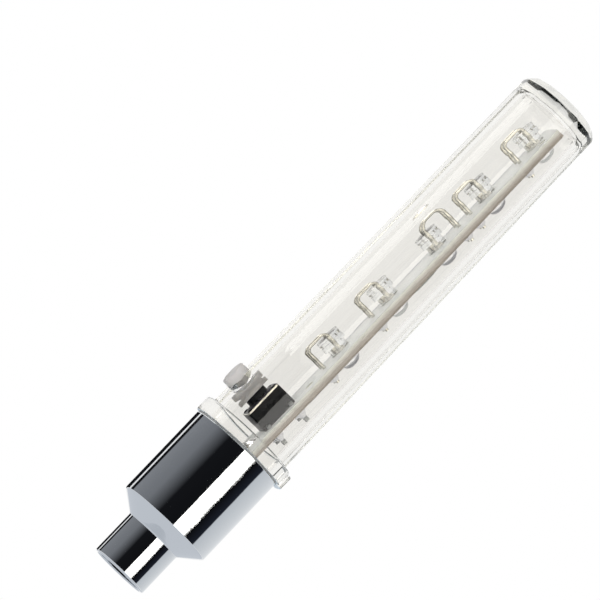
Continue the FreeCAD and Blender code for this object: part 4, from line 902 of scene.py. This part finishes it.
stakes = bmesh.new()
for side in (-STAKE_SIDE, STAKE_SIDE):
    for along in (-STAKE_SIDE, STAKE_SIDE):
        turned(stakes, in_metres(STAKE_SHAPE), ACROSS, 24, (0, side * MM, (switch_mid + along) * MM))
finished_piece("switch_stakes", stakes, "tube", moulded_black, sharp=50)

plunger = turned(bmesh.new(), in_metres(PLUNGER_SHAPE), ACROSS, 64, switch_centre)
round_rings(plunger, in_metres([(PLUNGER_RADIUS, PLUNGER_TOP)]), PLUNGER_ROUND, axis=ACROSS,
            centre=switch_centre)
plunger_piece = finished_piece("switch_plunger_button", plunger, "plunger", moulded_black)
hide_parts("switch_plunger")

# Dull tinned brass: the pins are grey and nearly matt, cloudy over about 1 mm, because they were handled
# and dipped in the solder bath.
FLUX_SIZE = 1.111 * MM
dull_tin = uneven_gloss("dull_tinned_brass", FLUX_SIZE, 3.0, (0.4, 0.6), {
    "Base Color": linear("#a3a5a5"), "Metallic": 1.0})

pins = bmesh.new()
for side in (-1, 1):
    for along in (-PIN_ALONG, PIN_ALONG):
        middle = switch_mid + along
        for inner, reach in ((3.0, PIN_KNEE), (3.1, PIN_TIP)):
            near, far = sorted((side * inner, side * PIN_OUTER))
            soften(pins, block(pins, (PIN_ROOT, near, middle - HALF_PIN), (reach, far, middle + HALF_PIN)),
                   PIN_ROUND, segments=1)
pins_piece = finished_piece("switch_pin_strips", pins, "tube", dull_tin)
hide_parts("switch_pins")

# Push button: milky moulded plastic. Its stem fills the port, its face stands out of the tube, and a
# flange curved to the bore keeps it in, resting on the plunger.
FLANGE_CURVE, FLANGE_FACE = 5.62 * MM, -5.0
STEM_END_RADIUS, STEM_END, STEM_ROUND = 1.88, -7.94, 0.22 * MM
BUTTON_SHAPE = ((0, PLUNGER_TOP), (2.75, PLUNGER_TOP), (2.75, FLANGE_FACE), (2.3, FLANGE_FACE),
                (1.9, FLANGE_FACE), (STEM_END_RADIUS, STEM_END), (1.2, -8.0), (0, -8.04))

# Milky acrylic: a soft white that glows where light comes from behind, with haze in clouds some 3 mm wide.
HAZE_SIZE = 3.333 * MM
milky, output = new_finish("milky_acrylic")
milky_tint, _ = two_tones(milky, HAZE_SIZE, 3.0, ("#ebe7e4", "#f1eeeb"))
milky_shader = add_node(milky, "ShaderNodeBsdfPrincipled", {
    "Base Color": milky_tint, "Roughness": 0.4, "IOR": 1.49, "Transmission Weight": 0.5,
    "Subsurface Weight": 0.3, "Subsurface Radius": (1.5 * MM, 1.4 * MM, 1.2 * MM)})
finish_surface(milky, output, milky_shader)

button = turned(bmesh.new(), in_metres(BUTTON_SHAPE), ACROSS, 64, switch_centre)
for vert in button.verts:
    if abs(vert.co.x - FLANGE_FACE * MM) < NEAR:
        vert.co.x = -math.sqrt(FLANGE_CURVE ** 2 - vert.co.y ** 2)
round_rings(button, in_metres([(STEM_END_RADIUS, STEM_END)]), STEM_ROUND, segments=4, axis=ACROSS,
            centre=switch_centre)
button_piece = finished_piece("milky_push_button", button, "button", milky, sharp=15)
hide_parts("button_cap")

# Seal ring: a thin washer cut from silicone rubber. It lies round the spigot, between the collar and the
# barrel's rim, and closes the joint when the tube is screwed down.
WASHER_INNER, WASHER_OUTER = 6.46 * MM, 7.4 * MM

# Clear silicone: waxy and pale, half see-through, with dull spots of bloom about 1.4 mm wide.
BLOOM_SIZE = 1.4286 * MM
silicone = uneven_gloss("clear_silicone", BLOOM_SIZE, 2.0, (0.2, 0.4), {
    "Base Color": linear("#e9e8e2"), "IOR": 1.41, "Transmission Weight": 0.7})
washer = turned(bmesh.new(), [
    (WASHER_INNER, BARREL_TOP), (WASHER_OUTER, BARREL_TOP), (WASHER_OUTER, COLLAR_BOTTOM),
    (WASHER_INNER, COLLAR_BOTTOM), (WASHER_INNER, BARREL_TOP)], steps=128)
washer_piece = finished_piece("silicone_washer", washer, "seal", silicone)
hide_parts("seal_ring")

# Hidden parts that keep their CAD shape: the cells, their spring, sleeve and contacts, the rubber washer
# at the valve's end, the plug that holds the board, and the switch's snap dome. Each has its usual plain
# finish, worn a little in patches 1.25 mm wide: name, colour, metallic, roughness, and the parts it is on.
WEAR_SIZE = 1.25 * MM
PLAIN_PARTS = (
    ("nitrile_rubber", "#1c1c1d", 0.0, 0.7, ("valve_seal",)),
    ("white_sleeve_plastic", "#d4d4d0", 0.0, 0.5, ("battery_sleeve",)),
    ("white_plug_plastic", "#dcdcd8", 0.0, 0.45, ("board_seat",)),
    ("bright_spring_steel", "#b5b5b3", 1.0, 0.25, ("battery_spring", "switch_dome")),
    ("nickel_cell_can", "#c9c8c4", 1.0, 0.3, ("battery_1", "battery_2", "battery_3")),
    ("tinned_bronze", "#c9c5bc", 1.0, 0.3, ("contact_disc", "contact_tab", "side_contact")),
)
for name, code, metallic, roughness, nodes in PLAIN_PARTS:
    finish = uneven_gloss(name, WEAR_SIZE, 3.0, (roughness * 0.8, roughness * 1.2), {
        "Base Color": linear(code), "Metallic": metallic})
    for node in nodes:
        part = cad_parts[node]
        if not part.material_slots:
            part.data.materials.append(finish)
        for holder in part.material_slots:
            holder.link = "OBJECT"
            holder.material = finish
